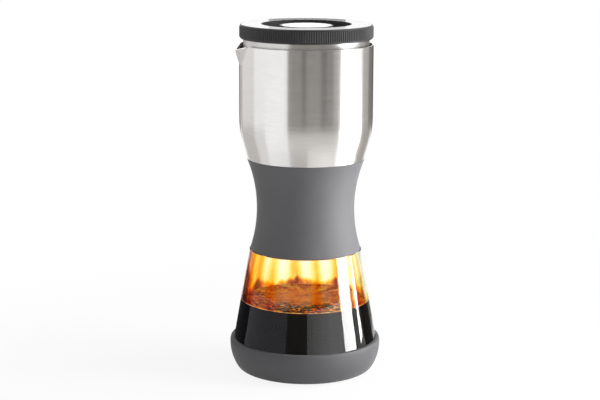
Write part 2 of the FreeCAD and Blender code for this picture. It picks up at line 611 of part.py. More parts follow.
def make_outer_shell():
    """Drawn steel shell with a spout, a recessed waist and a threaded collar at its foot."""
    body = lathe("outer_shell", [
        ("0", "shell_foot"),
        ("collar_radius", "shell_foot"),
        ("collar_radius", "collar_top"),
        ("shell_waist_foot", "collar_top", "-core_curve"),
        ("shell_ledge_foot", "shell_ledge"),
        ("shell_ledge_radius", "shell_ledge"),
        ("shell_cone_radius", "shell_cone_height", "shell_bend"),
        ("shell_radius", "shell_bend_height"),
        ("shell_radius", "shell_rim_height"),
        ("0", "shell_rim_height"),
    ])
    spout_loft(body, "spout_outside", "AdditiveLoft", "0")
    thick_across = "shell_sheet / cos(shell_taper)"
    slope_drop = "(shell_inner_ledge - shell_ledge) * tan(shell_taper)"
    turn_profile(body, "shell_hollow", "Groove", [
        ("0", "shell_foot - shell_sheet"),
        ("neck_opening", "shell_foot - shell_sheet"),
        ("neck_opening", "shell_foot + shell_sheet"),
        ("collar_radius - shell_sheet", "shell_foot + shell_sheet"),
        ("collar_radius - shell_sheet", "shell_inner_collar_top"),
        ("waist_centre - sqrt(shell_inner_curve ^ 2 - (shell_inner_collar_top - waist_height) ^ 2)",
         "shell_inner_collar_top", "-shell_inner_curve"),
        ("waist_centre - sqrt(shell_inner_curve ^ 2 - (shell_inner_ledge - waist_height) ^ 2)",
         "shell_inner_ledge"),
        (f"shell_ledge_radius + {slope_drop} - {thick_across}", "shell_inner_ledge"),
        ("shell_cone_radius - shell_sheet * cos(shell_taper)",
         "shell_cone_height + shell_sheet * sin(shell_taper)", "shell_inner_bend"),
        ("shell_radius - shell_sheet", "shell_bend_height"),
        ("shell_radius - shell_sheet", "shell_rim_height + shell_sheet"),
        ("0", "shell_rim_height + shell_sheet"),
    ])
    spout_loft(body, "spout_inside", "SubtractiveLoft", "shell_sheet")
    lip = new_sketch(body, "spout_lip_line")
    root = "sqrt(shell_radius ^ 2 - spout_half_width ^ 2)"
    draw_outline(lip, [
        (f"-({root})", "shell_rim_height"),
        ("-shell_radius - spout_reach", "shell_rim_height - spout_dip"),
        ("-shell_radius - spout_reach - spout_dip", "shell_rim_height - spout_dip"),
        ("-shell_radius - spout_reach - spout_dip", "shell_rim_height + spout_dip"),
        (f"-({root})", "shell_rim_height + spout_dip"),
    ])
    cut(body, "spout_lip", lip, length="2 * spout_half_width + 2 * spout_dip", both_ways=True)
    return body


def make_neck_gasket():
    """Silicone ring between the top of the glass and the valve cup."""
    return lathe("neck_gasket", rectangle(
        "glass_neck_inner", "glass_height", "glass_bead_radius", "glass_height + neck_gasket_height"))


def make_flange_gasket():
    """Silicone ring between the valve cup and the foot of the shell."""
    return lathe("flange_gasket", rectangle(
        "neck_opening", "shell_foot - flange_gasket_height", "glass_bead_radius", "shell_foot"))


def make_split_ring():
    """Sprung ring that catches under the bead of the glass."""
    body = lathe("split_ring", rectangle(
        "glass_neck_radius + skin_gap", "glass_height - glass_bead_height - split_ring_height",
        "collar_radius", "glass_height - glass_bead_height"))
    slit = new_sketch(body, "slit_outline", "YZ_Plane")
    draw_outline(slit, rectangle(
        "-split_ring_gap / 2", "glass_height - glass_bead_height - 2 * split_ring_height",
        "split_ring_gap / 2", "glass_height"))
    cut(body, "slit", slit, reverse=True)
    return body


def make_neck_nut():
    """Nut that pulls the split ring, and the glass with it, up against the shell."""
    ring_bottom = "glass_height - glass_bead_height - split_ring_height"
    body = lathe("neck_nut", [
        ("glass_bead_radius + nut_lip_clearance", f"{ring_bottom} - nut_lip_height"),
        ("nut_radius", f"{ring_bottom} - nut_lip_height"),
        ("nut_radius", "collar_top - nut_gap"),
        ("collar_radius + thread_clearance", "collar_top - nut_gap"),
        ("collar_radius + thread_clearance", ring_bottom),
        ("glass_bead_radius + nut_lip_clearance", ring_bottom),
    ])
    notch = new_sketch(body, "notch_outline")
    draw_outline(notch, rectangle(
        "-nut_notch_width / 2", f"{ring_bottom} - nut_lip_height - nut_notch_height",
        "nut_notch_width / 2", f"{ring_bottom} - nut_lip_height + nut_notch_height"))
    first = cut(body, "notch", notch, reverse=True)
    repeat_round(body, "notches", first, "nut_notch_count")
    return body


def make_valve_cup():
    """Fixed cup in the middle of the neck, with eight ports and four arms to a clamped ring."""
    ring_bottom = "cup_ring_bottom"
    cup_radius = "cup_bore + cup_wall"
    body = lathe("valve_cup", [
        ("0", "cup_bottom"),
        (cup_radius, "cup_bottom"),
        (cup_radius, "cup_top"),
        ("cup_bore", "cup_top"),
        ("cup_bore", "cup_bottom + cup_floor"),
        ("0", "cup_bottom + cup_floor"),
    ])
    arm = new_sketch(body, "arm_outline", turn="180 / spoke_count")
    draw_outline(arm, [
        ("cup_bore + cup_wall / 2", ring_bottom),
        ("neck_opening + cup_ring_height", ring_bottom),
        ("neck_opening + cup_ring_height", f"{ring_bottom} + cup_ring_height"),
        ("neck_opening - skin_gap", f"{ring_bottom} + cup_ring_height"),
        ("cup_bore + cup_wall / 2", f"{ring_bottom} + spoke_height"),
    ])
    first_arm = body.newObject("PartDesign::Pad", "arm")
    first_arm.Profile = arm
    first_arm.Midplane = True
    first_arm.setExpression("Length", bound("spoke_width"))
    repeat_round(body, "arms", first_arm, "spoke_count")
    ring = new_sketch(body, "ring_outline", "XY_Plane", ring_bottom)
    draw_circle(ring, "0", "0", "glass_bead_radius")
    draw_circle(ring, "0", "0", "neck_opening")
    raise_pad(body, "ring", ring, "cup_ring_height")
    cut_ports(body)
    return body


def cut_ports(body):
    """The ring of ports, alike in the cup and in the plug."""
    port = new_sketch(body, body.Label + "_port_outline", turn="180 / port_count")
    draw_outline(port, rectangle(
        "-port_width / 2", "port_bottom", "port_width / 2", "port_bottom + port_height"))
    first = cut(body, body.Label + "_port", port, reverse=True)
    repeat_round(body, body.Label + "_ports", first, "port_count")


def groove_corners(bottom, outside, middle):
    """Outline of an o-ring's groove, cut from the outside in."""
    half = "(o_ring_thickness / 2 + o_ring_room)"
    return rectangle(bottom, f"{middle} - {half}", f"{outside} + o_ring_thickness", f"{middle} + {half}")


def make_valve_plug():
    """Turning plug with its own ports, two o-ring grooves and slots for the dogs."""
    body = lathe("valve_plug", [
        ("0", "plug_bottom"),
        ("plug_radius", "plug_bottom"),
        ("plug_radius", "plug_top"),
        ("plug_bore", "plug_top"),
        ("plug_bore", "plug_bottom + plug_floor"),
        ("0", "plug_bottom + plug_floor"),
    ])
    for place in ("lower", "upper"):
        turn_profile(body, place + "_groove", "Groove",
                     groove_corners("o_ring_groove", "plug_radius", place + "_o_ring_height"))
    cut_ports(body)
    slot = new_sketch(body, "dog_slot_outline")
    draw_outline(slot, rectangle(
        "-dog_width / 2", "plug_top - dog_depth", "dog_width / 2", "plug_top + dog_depth"))
    first = cut(body, "dog_slot", slot, reverse=True)
    repeat_round(body, "dog_slots", first, "dog_count")
    return body


def make_o_ring(name, centre, height):
    """One o-ring about Z."""
    ring = doc.addObject("Part::Torus", name)
    ring.setExpression("Radius1", bound(centre))
    ring.setExpression("Radius2", bound("o_ring_thickness / 2"))
    ring.setExpression("Placement.Base.z", bound(height))
    return ring


def make_plug_o_rings():
    """The two o-rings of the plug, above and below its ports."""
    rings = doc.addObject("Part::Compound", "PlugORings")
    rings.Label = "plug_o_rings"
    rings.Links = [
        make_o_ring("LowerORing", "o_ring_centre", "lower_o_ring_height"),
        make_o_ring("UpperORing", "o_ring_centre", "upper_o_ring_height"),
    ]
    return rings


# Brew chamber and the drain fitting that turns the plug

def make_brew_chamber():
    """Deep drawn steel chamber with a flanged mouth, a filter ledge and a sump."""
    hole = "drain_thread_radius + floor_hole_clearance"
    body = lathe("brew_chamber", [
        (hole, "chamber_floor"),
        ("sump_radius", "chamber_floor"),
        ("sump_radius", "ledge_height"),
        ("ledge_radius", "ledge_height"),
        ("chamber_cone_radius", "chamber_cone_height", "chamber_bend"),
        ("chamber_radius", "chamber_bend_height"),
        ("chamber_radius", "chamber_rim - chamber_sheet"),
        ("chamber_radius + chamber_rim_overhang", "chamber_rim - chamber_sheet"),
        ("chamber_radius + chamber_rim_overhang", "chamber_rim"),
        ("chamber_radius - chamber_sheet", "chamber_rim"),
        ("chamber_radius - chamber_sheet", "chamber_bend_height", "-(chamber_bend - chamber_sheet)"),
        ("chamber_cone_radius - chamber_sheet * cos(chamber_taper)",
         "chamber_cone_height + chamber_sheet * sin(chamber_taper)"),
        ("ledge_radius + chamber_sheet * tan(chamber_taper) - chamber_thick_across", "ledge_top"),
        ("sump_inner", "ledge_top"),
        ("sump_inner", "chamber_floor + chamber_sheet"),
        (hole, "chamber_floor + chamber_sheet"),
    ])
    soften(body, "sump_outer_round", "Fillet", "sump_round", [("sump_radius", "chamber_floor")])
    soften(body, "sump_inner_round", "Fillet", "sump_round - chamber_sheet",
           [("sump_inner", "chamber_floor + chamber_sheet")])
    return body


def make_drain_collar():
    """Fitting through the chamber's floor: threaded neck, flange, tail and driving dogs."""
    body = lathe("drain_collar", [
        ("tail_radius - tail_wall", "tail_bottom"),
        ("tail_radius", "tail_bottom"),
        ("tail_radius", "plug_top"),
        ("drain_flange_radius", "plug_top"),
        ("drain_flange_radius", "chamber_floor"),
        ("drain_thread_radius", "chamber_floor"),
        ("drain_thread_radius", "drain_nut_top"),
        ("drain_bore", "drain_nut_top"),
        ("drain_bore", "plug_top"),
        ("tail_radius - tail_wall", "plug_top - drain_wall"),
    ])
    turn_profile(body, "seal_groove", "Groove",
                 groove_corners("tail_seal_groove", "tail_radius", "tail_seal_height"))
    dog = new_sketch(body, "dog_outline", "XY_Plane", "plug_top - dog_depth + dog_clearance")
    draw_outline(dog, rectangle(
        "tail_radius - tail_wall / 2", "dog_clearance - dog_width / 2",
        "plug_radius - dog_clearance", "dog_width / 2 - dog_clearance"))
    first = raise_pad(body, "dog", dog, "dog_depth")
    repeat_round(body, "dogs", first, "dog_count")
    return body


def make_chamber_seal():
    """O-ring that seals the drain tail in the plug."""
    ring = make_o_ring("ChamberSeal", "tail_seal_centre", "tail_seal_height")
    ring.Label = "chamber_seal"
    return ring


def make_floor_washer():
    """Silicone washer between the chamber's floor and the drain nut."""
    return lathe("floor_washer", rectangle(
        "drain_thread_radius + floor_hole_clearance", "washer_bottom",
        "drain_flange_radius", "drain_nut_bottom"))


def make_drain_nut():
    """Six-sided nut that clamps the drain fitting to the chamber's floor."""
    body = new_body("drain_nut")
    sketch = new_sketch(body, "nut_outline", "XY_Plane", "drain_nut_bottom")
    draw_outline(sketch, [
        (f"drain_nut_radius * cos({60 * side})",
         f"drain_nut_radius * sin({60 * side})" if side % 3 else "0")
        for side in range(6)])
    draw_circle(sketch, "0", "0", "drain_thread_radius + thread_clearance")
    raise_pad(body, "nut_block", sketch, "drain_nut_height")
    return body


# Filter

def make_filter_gasket():
    """Silicone ring that the filter stands on."""
    outside = "ledge_radius - chamber_thick_across"
    return lathe("filter_gasket", rectangle(
        f"{outside} - filter_gasket_width", "ledge_top", outside, "filter_bottom"))


def make_filter_frame():
    """Spoked frame that carries both filter plates."""
    rim_inner = "filter_radius - filter_rim_width"
    seat = "filter_plate_radius + filter_inset"
    body = lathe("filter_frame", [
        (rim_inner, "filter_bottom"),
        ("filter_radius", "filter_bottom"),
        ("filter_radius", "filter_bottom + filter_frame_height"),
        (seat, "filter_bottom + filter_frame_height"),
        (seat, "fine_filter_bottom"),
        (rim_inner, "fine_filter_bottom"),
    ])
    arm = new_sketch(body, "filter_arm_outline", "XY_Plane", "filter_bottom")
    draw_outline(arm, rectangle(
        "filter_hub_radius / 2", "-filter_arm_width / 2",
        f"{rim_inner} + filter_rim_width / 4", "filter_arm_width / 2"))
    first = raise_pad(body, "filter_arm", arm, "filter_arm_height")
    repeat_round(body, "filter_arms", first, "filter_arm_count")
    hub = new_sketch(body, "filter_hub_outline", "XY_Plane", "filter_bottom")
    draw_circle(hub, "0", "0", "filter_hub_radius")
    raise_pad(body, "filter_hub", hub, "filter_arm_height")
    bore = new_sketch(body, "filter_hub_bore_outline", "XY_Plane", "filter_bottom")
    draw_circle(bore, "0", "0", "screw_radius + screw_clearance")
    cut(body, "filter_hub_bore", bore, reverse=True)
    return body


def make_fine_filter():
    """Woven mesh disc, under the cut plate."""
    return lathe("fine_filter", rectangle(
        "screw_radius + screw_clearance", "fine_filter_bottom",
        "filter_plate_radius", "coarse_filter_bottom"))


def make_coarse_filter():
    """Cut steel plate with rings of radial slots, more of them in each further ring."""
    body = lathe("coarse_filter", rectangle(
        "screw_radius + screw_clearance", "coarse_filter_bottom", "filter_plate_radius", "knob_bottom"))
    for ring in FILTER_SLOT_RINGS:
        sketch = new_sketch(body, f"slot_outline_{ring}", "XY_Plane", "coarse_filter_bottom")
        middle = f"({ring} - 0.5) * filter_slot_pitch"
        draw_outline(sketch, rectangle(
            f"{middle} - filter_slot_length / 2", "-filter_slot_width / 2",
            f"{middle} + filter_slot_length / 2", "filter_slot_width / 2"))
        first = cut(body, f"slot_{ring}", sketch, reverse=True)
        repeat_round(body, f"slots_{ring}", first, f"{ring} * filter_slot_step")
    return body


def make_filter_knob():
    """Mushroom knob for lifting the filter out."""
    head = "knob_bottom + knob_height - knob_head_height"
    body = lathe("filter_knob", [
        ("screw_radius + screw_clearance", "knob_bottom"),
        ("filter_hub_radius", "knob_bottom"),
        ("filter_hub_radius", "knob_bottom + screw_radius"),
        ("knob_stem_radius", "knob_bottom + 2 * screw_radius"),
        ("knob_stem_radius", f"{head} - screw_radius"),
        ("knob_radius", head),
        ("knob_radius", "knob_bottom + knob_height"),
        ("0", "knob_bottom + knob_height"),
        ("0", "filter_bottom + screw_length + screw_clearance"),
        ("screw_radius + screw_clearance", "filter_bottom + screw_length + screw_clearance"),
    ])
    soften(body, "knob_crown", "Fillet", "knob_head_height / 2",
           [("knob_radius", "knob_bottom + knob_height")])
    return body


def make_filter_screw():
    """Screw from under the hub into the knob."""
    return lathe("filter_screw", [
        ("0", "filter_bottom - screw_head_height"),
        ("screw_head_radius", "filter_bottom - screw_head_height"),
        ("screw_head_radius", "filter_bottom"),
        ("screw_radius", "filter_bottom"),
        ("screw_radius", "filter_bottom + screw_length"),
        ("0", "filter_bottom + screw_length"),
    ])


# Lid

def make_lid_cap():
    """Moulded cap: ribbed edge, level land, a groove for the fingers and a knob in it."""
    skirt = "lid_radius - lid_skirt_wall"
    seat = "chamber_radius + chamber_sheet / 4"
    plain = "(lid_radius - knurl_depth - knurl_step)"
    body = lathe("lid_cap", [
        (skirt, "lid_bottom"),
        (plain, "lid_bottom"),
        (plain, "lid_bottom + knurl_land"),
        ("lid_radius", "lid_bottom + knurl_land"),
        ("lid_radius", "total_height - knurl_land"),
        (plain, "total_height - knurl_land"),
        (plain, "total_height"),
        ("finger_ring_outer", "total_height"),
        ("finger_ring_outer", "groove_floor"),
        ("finger_ring_inner", "groove_floor"),
        ("finger_ring_inner", "lid_knob_top"),
        ("lid_disc_radius + disc_clearance", "lid_knob_top"),
        ("lid_disc_radius + disc_clearance", "disc_seat"),
        ("0", "disc_seat"),
        ("0", "disc_seat - lid_wall"),
        ("finger_ring_inner - lid_wall", "disc_seat - lid_wall"),
        ("finger_ring_inner - lid_wall", "groove_floor - lid_wall"),
        ("finger_ring_outer + lid_wall", "groove_floor - lid_wall"),
        ("finger_ring_outer + lid_wall", "total_height - lid_wall"),
        (seat, "total_height - lid_wall"),
        (seat, "chamber_rim"),
        (skirt, "chamber_rim"),
    ])
    soften(body, "lid_top_edge", "Fillet", "lid_edge_round", [(plain, "total_height")])
    soften(body, "lid_foot", "Chamfer", "lid_foot_chamfer", [(plain, "lid_bottom")])
    soften(body, "finger_ring_edges", "Fillet", "finger_ring_round",
           [("finger_ring_outer", "groove_floor"), ("finger_ring_inner", "groove_floor")])
    valley = new_sketch(body, "valley_outline", "XY_Plane", "lid_bottom + knurl_land")
    pitch = "(2 * pi * lid_radius / knurl_count)"
    draw_outline(valley, [
        ("lid_radius - knurl_depth", "0"),
        ("lid_radius + knurl_depth", f"knurl_crest - {pitch}"),
        ("lid_radius + knurl_depth", f"{pitch} - knurl_crest"),
    ])
    first = cut(body, "valley", valley, "lid_height - 2 * knurl_land", reverse=True)
    repeat_round(body, "knurl", first, "knurl_count")
    return body


def make_lid_disc():
    """Disc let into the top of the knob."""
    body = lathe("lid_disc", rectangle("0", "disc_seat", "lid_disc_radius", "lid_knob_top"))
    return body


def make_lid_liner():
    """Inner cup of the lid, which plugs the mouth of the chamber."""
    body = lathe("lid_liner", [
        ("0", "liner_bottom"),
        ("liner_radius", "liner_bottom"),
        ("liner_radius", "liner_top"),
        ("liner_radius - liner_wall - lid_gasket_seat", "liner_top"),
        ("liner_radius - liner_wall - lid_gasket_seat", "lid_gasket_bottom"),
        ("0", "lid_gasket_bottom"),
    ])
    turn_profile(body, "gasket_groove", "Groove", rectangle(
        "liner_radius - lid_gasket_seat", "lid_gasket_bottom",
        "liner_radius + lid_gasket_seat", "lid_gasket_top"))
    return body


def make_lid_gasket():
    """Two-lipped silicone gasket round the liner."""
    back = "liner_radius - lid_gasket_seat + disc_clearance"
    web = f"{back} + lid_gasket_web"
    lip = "chamber_radius - chamber_sheet - seal_clearance"
    low, high = "lid_gasket_bottom + disc_clearance", "lid_gasket_top - disc_clearance"
    return lathe("lid_gasket", [
        (back, low),
        (lip, low),
        (lip, f"{low} + lid_gasket_fin"),
        (web, f"{low} + lid_gasket_fin"),
        (web, f"{high} - lid_gasket_fin"),
        (lip, f"{high} - lid_gasket_fin"),
        (lip, high),
        (back, high),
    ])


MAKERS = [
    make_base_boot, make_glass_carafe, make_grip_sleeve, make_outer_shell, make_neck_gasket,
    make_flange_gasket, make_split_ring, make_neck_nut, make_valve_cup, make_valve_plug,
    make_plug_o_rings, make_brew_chamber, make_drain_collar, make_chamber_seal, make_floor_washer,
    make_drain_nut, make_filter_gasket, make_filter_frame, make_fine_filter, make_coarse_filter,
    make_filter_knob, make_filter_screw, make_lid_cap, make_lid_disc, make_lid_liner, make_lid_gasket,
]


def check(pieces):
    """Stop with the names of whatever didn't build."""
    faults = [item.Label for item in doc.Objects if {"Invalid", "Error"} & set(item.State)]
    faults += [piece.Label for piece in pieces if piece.Shape.isNull() or not piece.Shape.isValid()]
    if faults:
        raise RuntimeError("not built: " + ", ".join(faults))


def main():
    """Build every piece, check it and write it to its own file."""
    fill_sheet()
    pieces = [make() for make in MAKERS]
    doc.recompute()
    check(pieces)
    os.makedirs(PARTS_FOLDER, exist_ok=True)
    for piece in pieces:
        piece.Shape.exportStep(os.path.join(PARTS_FOLDER, piece.Label + ".step"))
        print(f"{piece.Label}: {len(piece.Shape.Solids)} solid(s), {piece.Shape.Volume / 1000:.2f} cm3")


main()
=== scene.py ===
"""Looks of a cold brew coffee maker: its finishes, the coffee in it and the studio round it.

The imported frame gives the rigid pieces. This script dresses them, makes the glass and the
boot again from the frame's, adds the coffee that stands and runs in the carafe, and sets
camera, lamps and floor.
"""

import logging
import math
from dataclasses import dataclass, field
from enum import Enum
from typing import Optional, Protocol, Sequence

import bmesh
import bpy
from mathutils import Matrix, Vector, noise
from mathutils.bvhtree import BVHTree


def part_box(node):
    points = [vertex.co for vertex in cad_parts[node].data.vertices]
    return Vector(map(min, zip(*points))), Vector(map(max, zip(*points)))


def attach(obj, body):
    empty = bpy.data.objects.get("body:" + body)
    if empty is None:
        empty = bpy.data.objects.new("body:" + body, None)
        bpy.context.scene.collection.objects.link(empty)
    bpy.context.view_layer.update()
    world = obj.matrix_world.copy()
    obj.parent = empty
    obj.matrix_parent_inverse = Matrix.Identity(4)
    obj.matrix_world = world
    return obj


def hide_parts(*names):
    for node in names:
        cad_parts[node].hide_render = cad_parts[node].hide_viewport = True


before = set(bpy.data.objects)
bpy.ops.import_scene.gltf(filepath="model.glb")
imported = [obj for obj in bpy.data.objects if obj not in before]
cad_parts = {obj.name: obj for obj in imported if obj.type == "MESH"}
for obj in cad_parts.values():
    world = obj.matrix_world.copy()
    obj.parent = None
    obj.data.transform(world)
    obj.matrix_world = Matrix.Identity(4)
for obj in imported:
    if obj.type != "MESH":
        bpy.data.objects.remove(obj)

LOG = logging.getLogger("coffee_maker")
MM = 0.001
FRAME_PIXELS = 600
SENSOR_WIDTH = 36.0
FILM_DEPTH = "film_depth"
FOAM_COVER = "foam_cover"
# Most values of a noise texture lie between these two.
NOISE_LOW = 0.3
NOISE_HIGH = 0.7

Colour = tuple[float, float, float, float]
WHITE: Colour = (1.0, 1.0, 1.0, 1.0)


def linear(hex_colour: str) -> Colour:
    """Turn an sRGB hex colour into the linear colour that shaders take.

    Args:
        hex_colour: Six hex digits, with or without a leading hash.

    Returns:
        Red, green, blue and an alpha of 1.
    """
    digits = hex_colour.lstrip("#")
    channels = [int(digits[index:index + 2], 16) / 255 for index in (0, 2, 4)]
    curved = [c / 12.92 if c <= 0.04045 else ((c + 0.055) / 1.055) ** 2.4 for c in channels]
    return (*curved, 1.0)


def add_node(
    tree: bpy.types.NodeTree,
    kind: str,
    inputs: Optional[dict] = None,
    stops: Sequence[tuple[float, str]] = (),
    **settings: object,
) -> bpy.types.Node:
    """Add one node with its settings, values and links.

    Args:
        tree: Node tree to add to.
        kind: Blender's name for the node, without its Shader prefix where it has one.
        inputs: Input name or index to a socket to link from, or to a plain value.
        stops: Position and hex colour of each stop, for a colour ramp.
        settings: Attributes of the node.

    Returns:
        The new node.
    """
    node = tree.nodes.new("ShaderNode" + kind)
    for name, value in settings.items():
        setattr(node, name, value)
    if stops:
        elements = node.color_ramp.elements
        while len(elements) < len(stops):
            elements.new(1.0)
        for element, (position, colour) in zip(elements, stops):
            element.position = position
            element.color = linear(colour)
    for key, value in (inputs or {}).items():
        if isinstance(value, bpy.types.NodeSocket):
            tree.links.new(value, node.inputs[key])
        else:
            node.inputs[key].default_value = value
    return node


def blank_material(name: str) -> tuple[bpy.types.Material, bpy.types.NodeTree]:
    """Make a material with an empty node tree.

    Args:
        name: Name of the material.

    Returns:
        The material and its tree.
    """
    material = bpy.data.materials.new(name)
    material.use_nodes = True
    material.node_tree.nodes.clear()
    return material, material.node_tree


def close_surface(tree: bpy.types.NodeTree, shader: bpy.types.Node) -> None:
    """Link a shader to the material's output.

    Args:
        tree: The material's tree.
        shader: Node whose first output is the surface.
    """
    add_node(tree, "OutputMaterial", {"Surface": shader.outputs[0]})


class Finish(Protocol):
    """What each finish offers: a name, and a way to make its material."""

    name: str

    def build(self) -> bpy.types.Material:
        """Make the material."""


class Grain(Enum):
    """Which way the lines of a brushed or turned metal run."""

    ROUND = "round"
    SPUN = "spun"


@dataclass(frozen=True)
class SoftTouchMoulding:
    """Compression moulded silicone or rubber, with the fine matte skin of a blasted tool.

    The eye sees a soft, dusty grey with a broad dim highlight and no sharp reflection.
    """

    name: str
    colour: str
    roughness: float = 0.62
    grain_mm: float = 0.5
    grain_depth_mm: float = 0.02
    cloud_mm: float = 22.0
    mottle: float = 0.06
    roughness_spread: float = 0.05

    def build(self) -> bpy.types.Material:
        """Make the material.

        Returns:
            The finished material.
        """
        material, tree = blank_material(self.name)
        place = add_node(tree, "TexCoord").outputs["Object"]
        # The blasted skin is under 0.1 mm in the real thing, drawn at half a millimetre to show.
        skin = add_node(tree, "TexNoise", {
            "Vector": place, "Scale": 1 / (self.grain_mm * MM), "Detail": 3.0, "Roughness": 0.6})
        cloud = add_node(tree, "TexNoise", {
            "Vector": place, "Scale": 1 / (self.cloud_mm * MM), "Detail": 4.0, "Roughness": 0.55})
        tint = add_node(tree, "MapRange", {
            "Value": cloud.outputs["Fac"], "From Min": NOISE_LOW, "From Max": NOISE_HIGH,
            "To Min": 1 - self.mottle, "To Max": 1 + self.mottle})
        colour = add_node(tree, "VectorMath", {
            0: linear(self.colour)[:3], "Scale": tint.outputs["Result"]}, operation="SCALE")
        dull = add_node(tree, "MapRange", {
            "Value": cloud.outputs["Fac"], "From Min": NOISE_LOW, "From Max": NOISE_HIGH,
            "To Min": self.roughness - self.roughness_spread,
            "To Max": self.roughness + self.roughness_spread})
        bump = add_node(tree, "Bump", {
            "Strength": 0.5, "Distance": self.grain_depth_mm * MM, "Height": skin.outputs["Fac"]})
        shader = add_node(tree, "BsdfPrincipled", {
            "Base Color": colour.outputs["Vector"], "Roughness": dull.outputs["Result"],
            "Normal": bump.outputs["Normal"], "IOR": 1.41, "Specular IOR Level": 0.5,
            "Sheen Weight": 0.12, "Sheen Roughness": 0.4})
        close_surface(tree, shader)
        return material


@dataclass(frozen=True)
class SatinPlastic:
    """Injection moulded plastic from a lightly spark-eroded tool.

    The eye sees a firm dark grey. Faces that look up were polished in the tool, so they
    mirror a bright backdrop at a low angle, and the sides stay dull.
    """

    name: str
    colour: str
    roughness: float = 0.38
    top_roughness: float = 0.3
    polished_from_mm: float = 0.0
    grain_mm: float = 0.6
    grain_depth_mm: float = 0.006
    cloud_mm: float = 14.0
    mottle: float = 0.05
    level_from: float = 0.9
    level_full: float = 0.99

    def build(self) -> bpy.types.Material:
        """Make the material.

        Returns:
            The finished material.
        """
        material, tree = blank_material(self.name)
        coordinates = add_node(tree, "TexCoord")
        place = coordinates.outputs["Object"]
        # The eroded grain is near 0.1 mm in the real thing, drawn coarser to show.
        grain = add_node(tree, "TexVoronoi", {
            "Vector": place, "Scale": 1 / (self.grain_mm * MM), "Randomness": 1.0})
        cloud = add_node(tree, "TexNoise", {
            "Vector": place, "Scale": 1 / (self.cloud_mm * MM), "Detail": 3.0})
        vary = add_node(tree, "MapRange", {
            "Value": cloud.outputs["Fac"], "From Min": NOISE_LOW, "From Max": NOISE_HIGH,
            "To Min": 1 - self.mottle, "To Max": 1 + self.mottle})
        colour = add_node(tree, "VectorMath", {
            0: linear(self.colour)[:3], "Scale": vary.outputs["Result"]}, operation="SCALE")
        facing = add_node(tree, "SeparateXYZ", {"Vector": coordinates.outputs["Normal"]})
        spot = add_node(tree, "VectorMath", {0: place, 1: (1.0, 1.0, 0.0)}, operation="MULTIPLY")
        reach = add_node(tree, "VectorMath", {0: spot.outputs["Vector"]}, operation="LENGTH")
        outside = add_node(tree, "Math", {
            0: reach.outputs["Value"], 1: self.polished_from_mm * MM}, operation="GREATER_THAN")
        level = add_node(tree, "Math", {
            0: facing.outputs["Z"], 1: outside.outputs["Value"]}, operation="MULTIPLY")
        polish = add_node(tree, "MapRange", {
            "Value": level.outputs["Value"], "From Min": self.level_from,
            "From Max": self.level_full, "To Min": self.roughness, "To Max": self.top_roughness})
        gloss = add_node(tree, "Math", {
            0: polish.outputs["Result"], 1: vary.outputs["Result"]}, operation="MULTIPLY")
        dull = add_node(tree, "MapRange", {
            "Value": level.outputs["Value"], "From Min": self.level_from,
            "From Max": self.level_full, "To Min": 0.35, "To Max": 0.0})
        bump = add_node(tree, "Bump", {
            "Strength": dull.outputs["Result"], "Distance": self.grain_depth_mm * MM,
            "Height": grain.outputs["Distance"]})
        shader = add_node(tree, "BsdfPrincipled", {
            "Base Color": colour.outputs["Vector"], "Roughness": gloss.outputs["Value"],
            "Normal": bump.outputs["Normal"], "IOR": 1.5})
        close_surface(tree, shader)
        return material


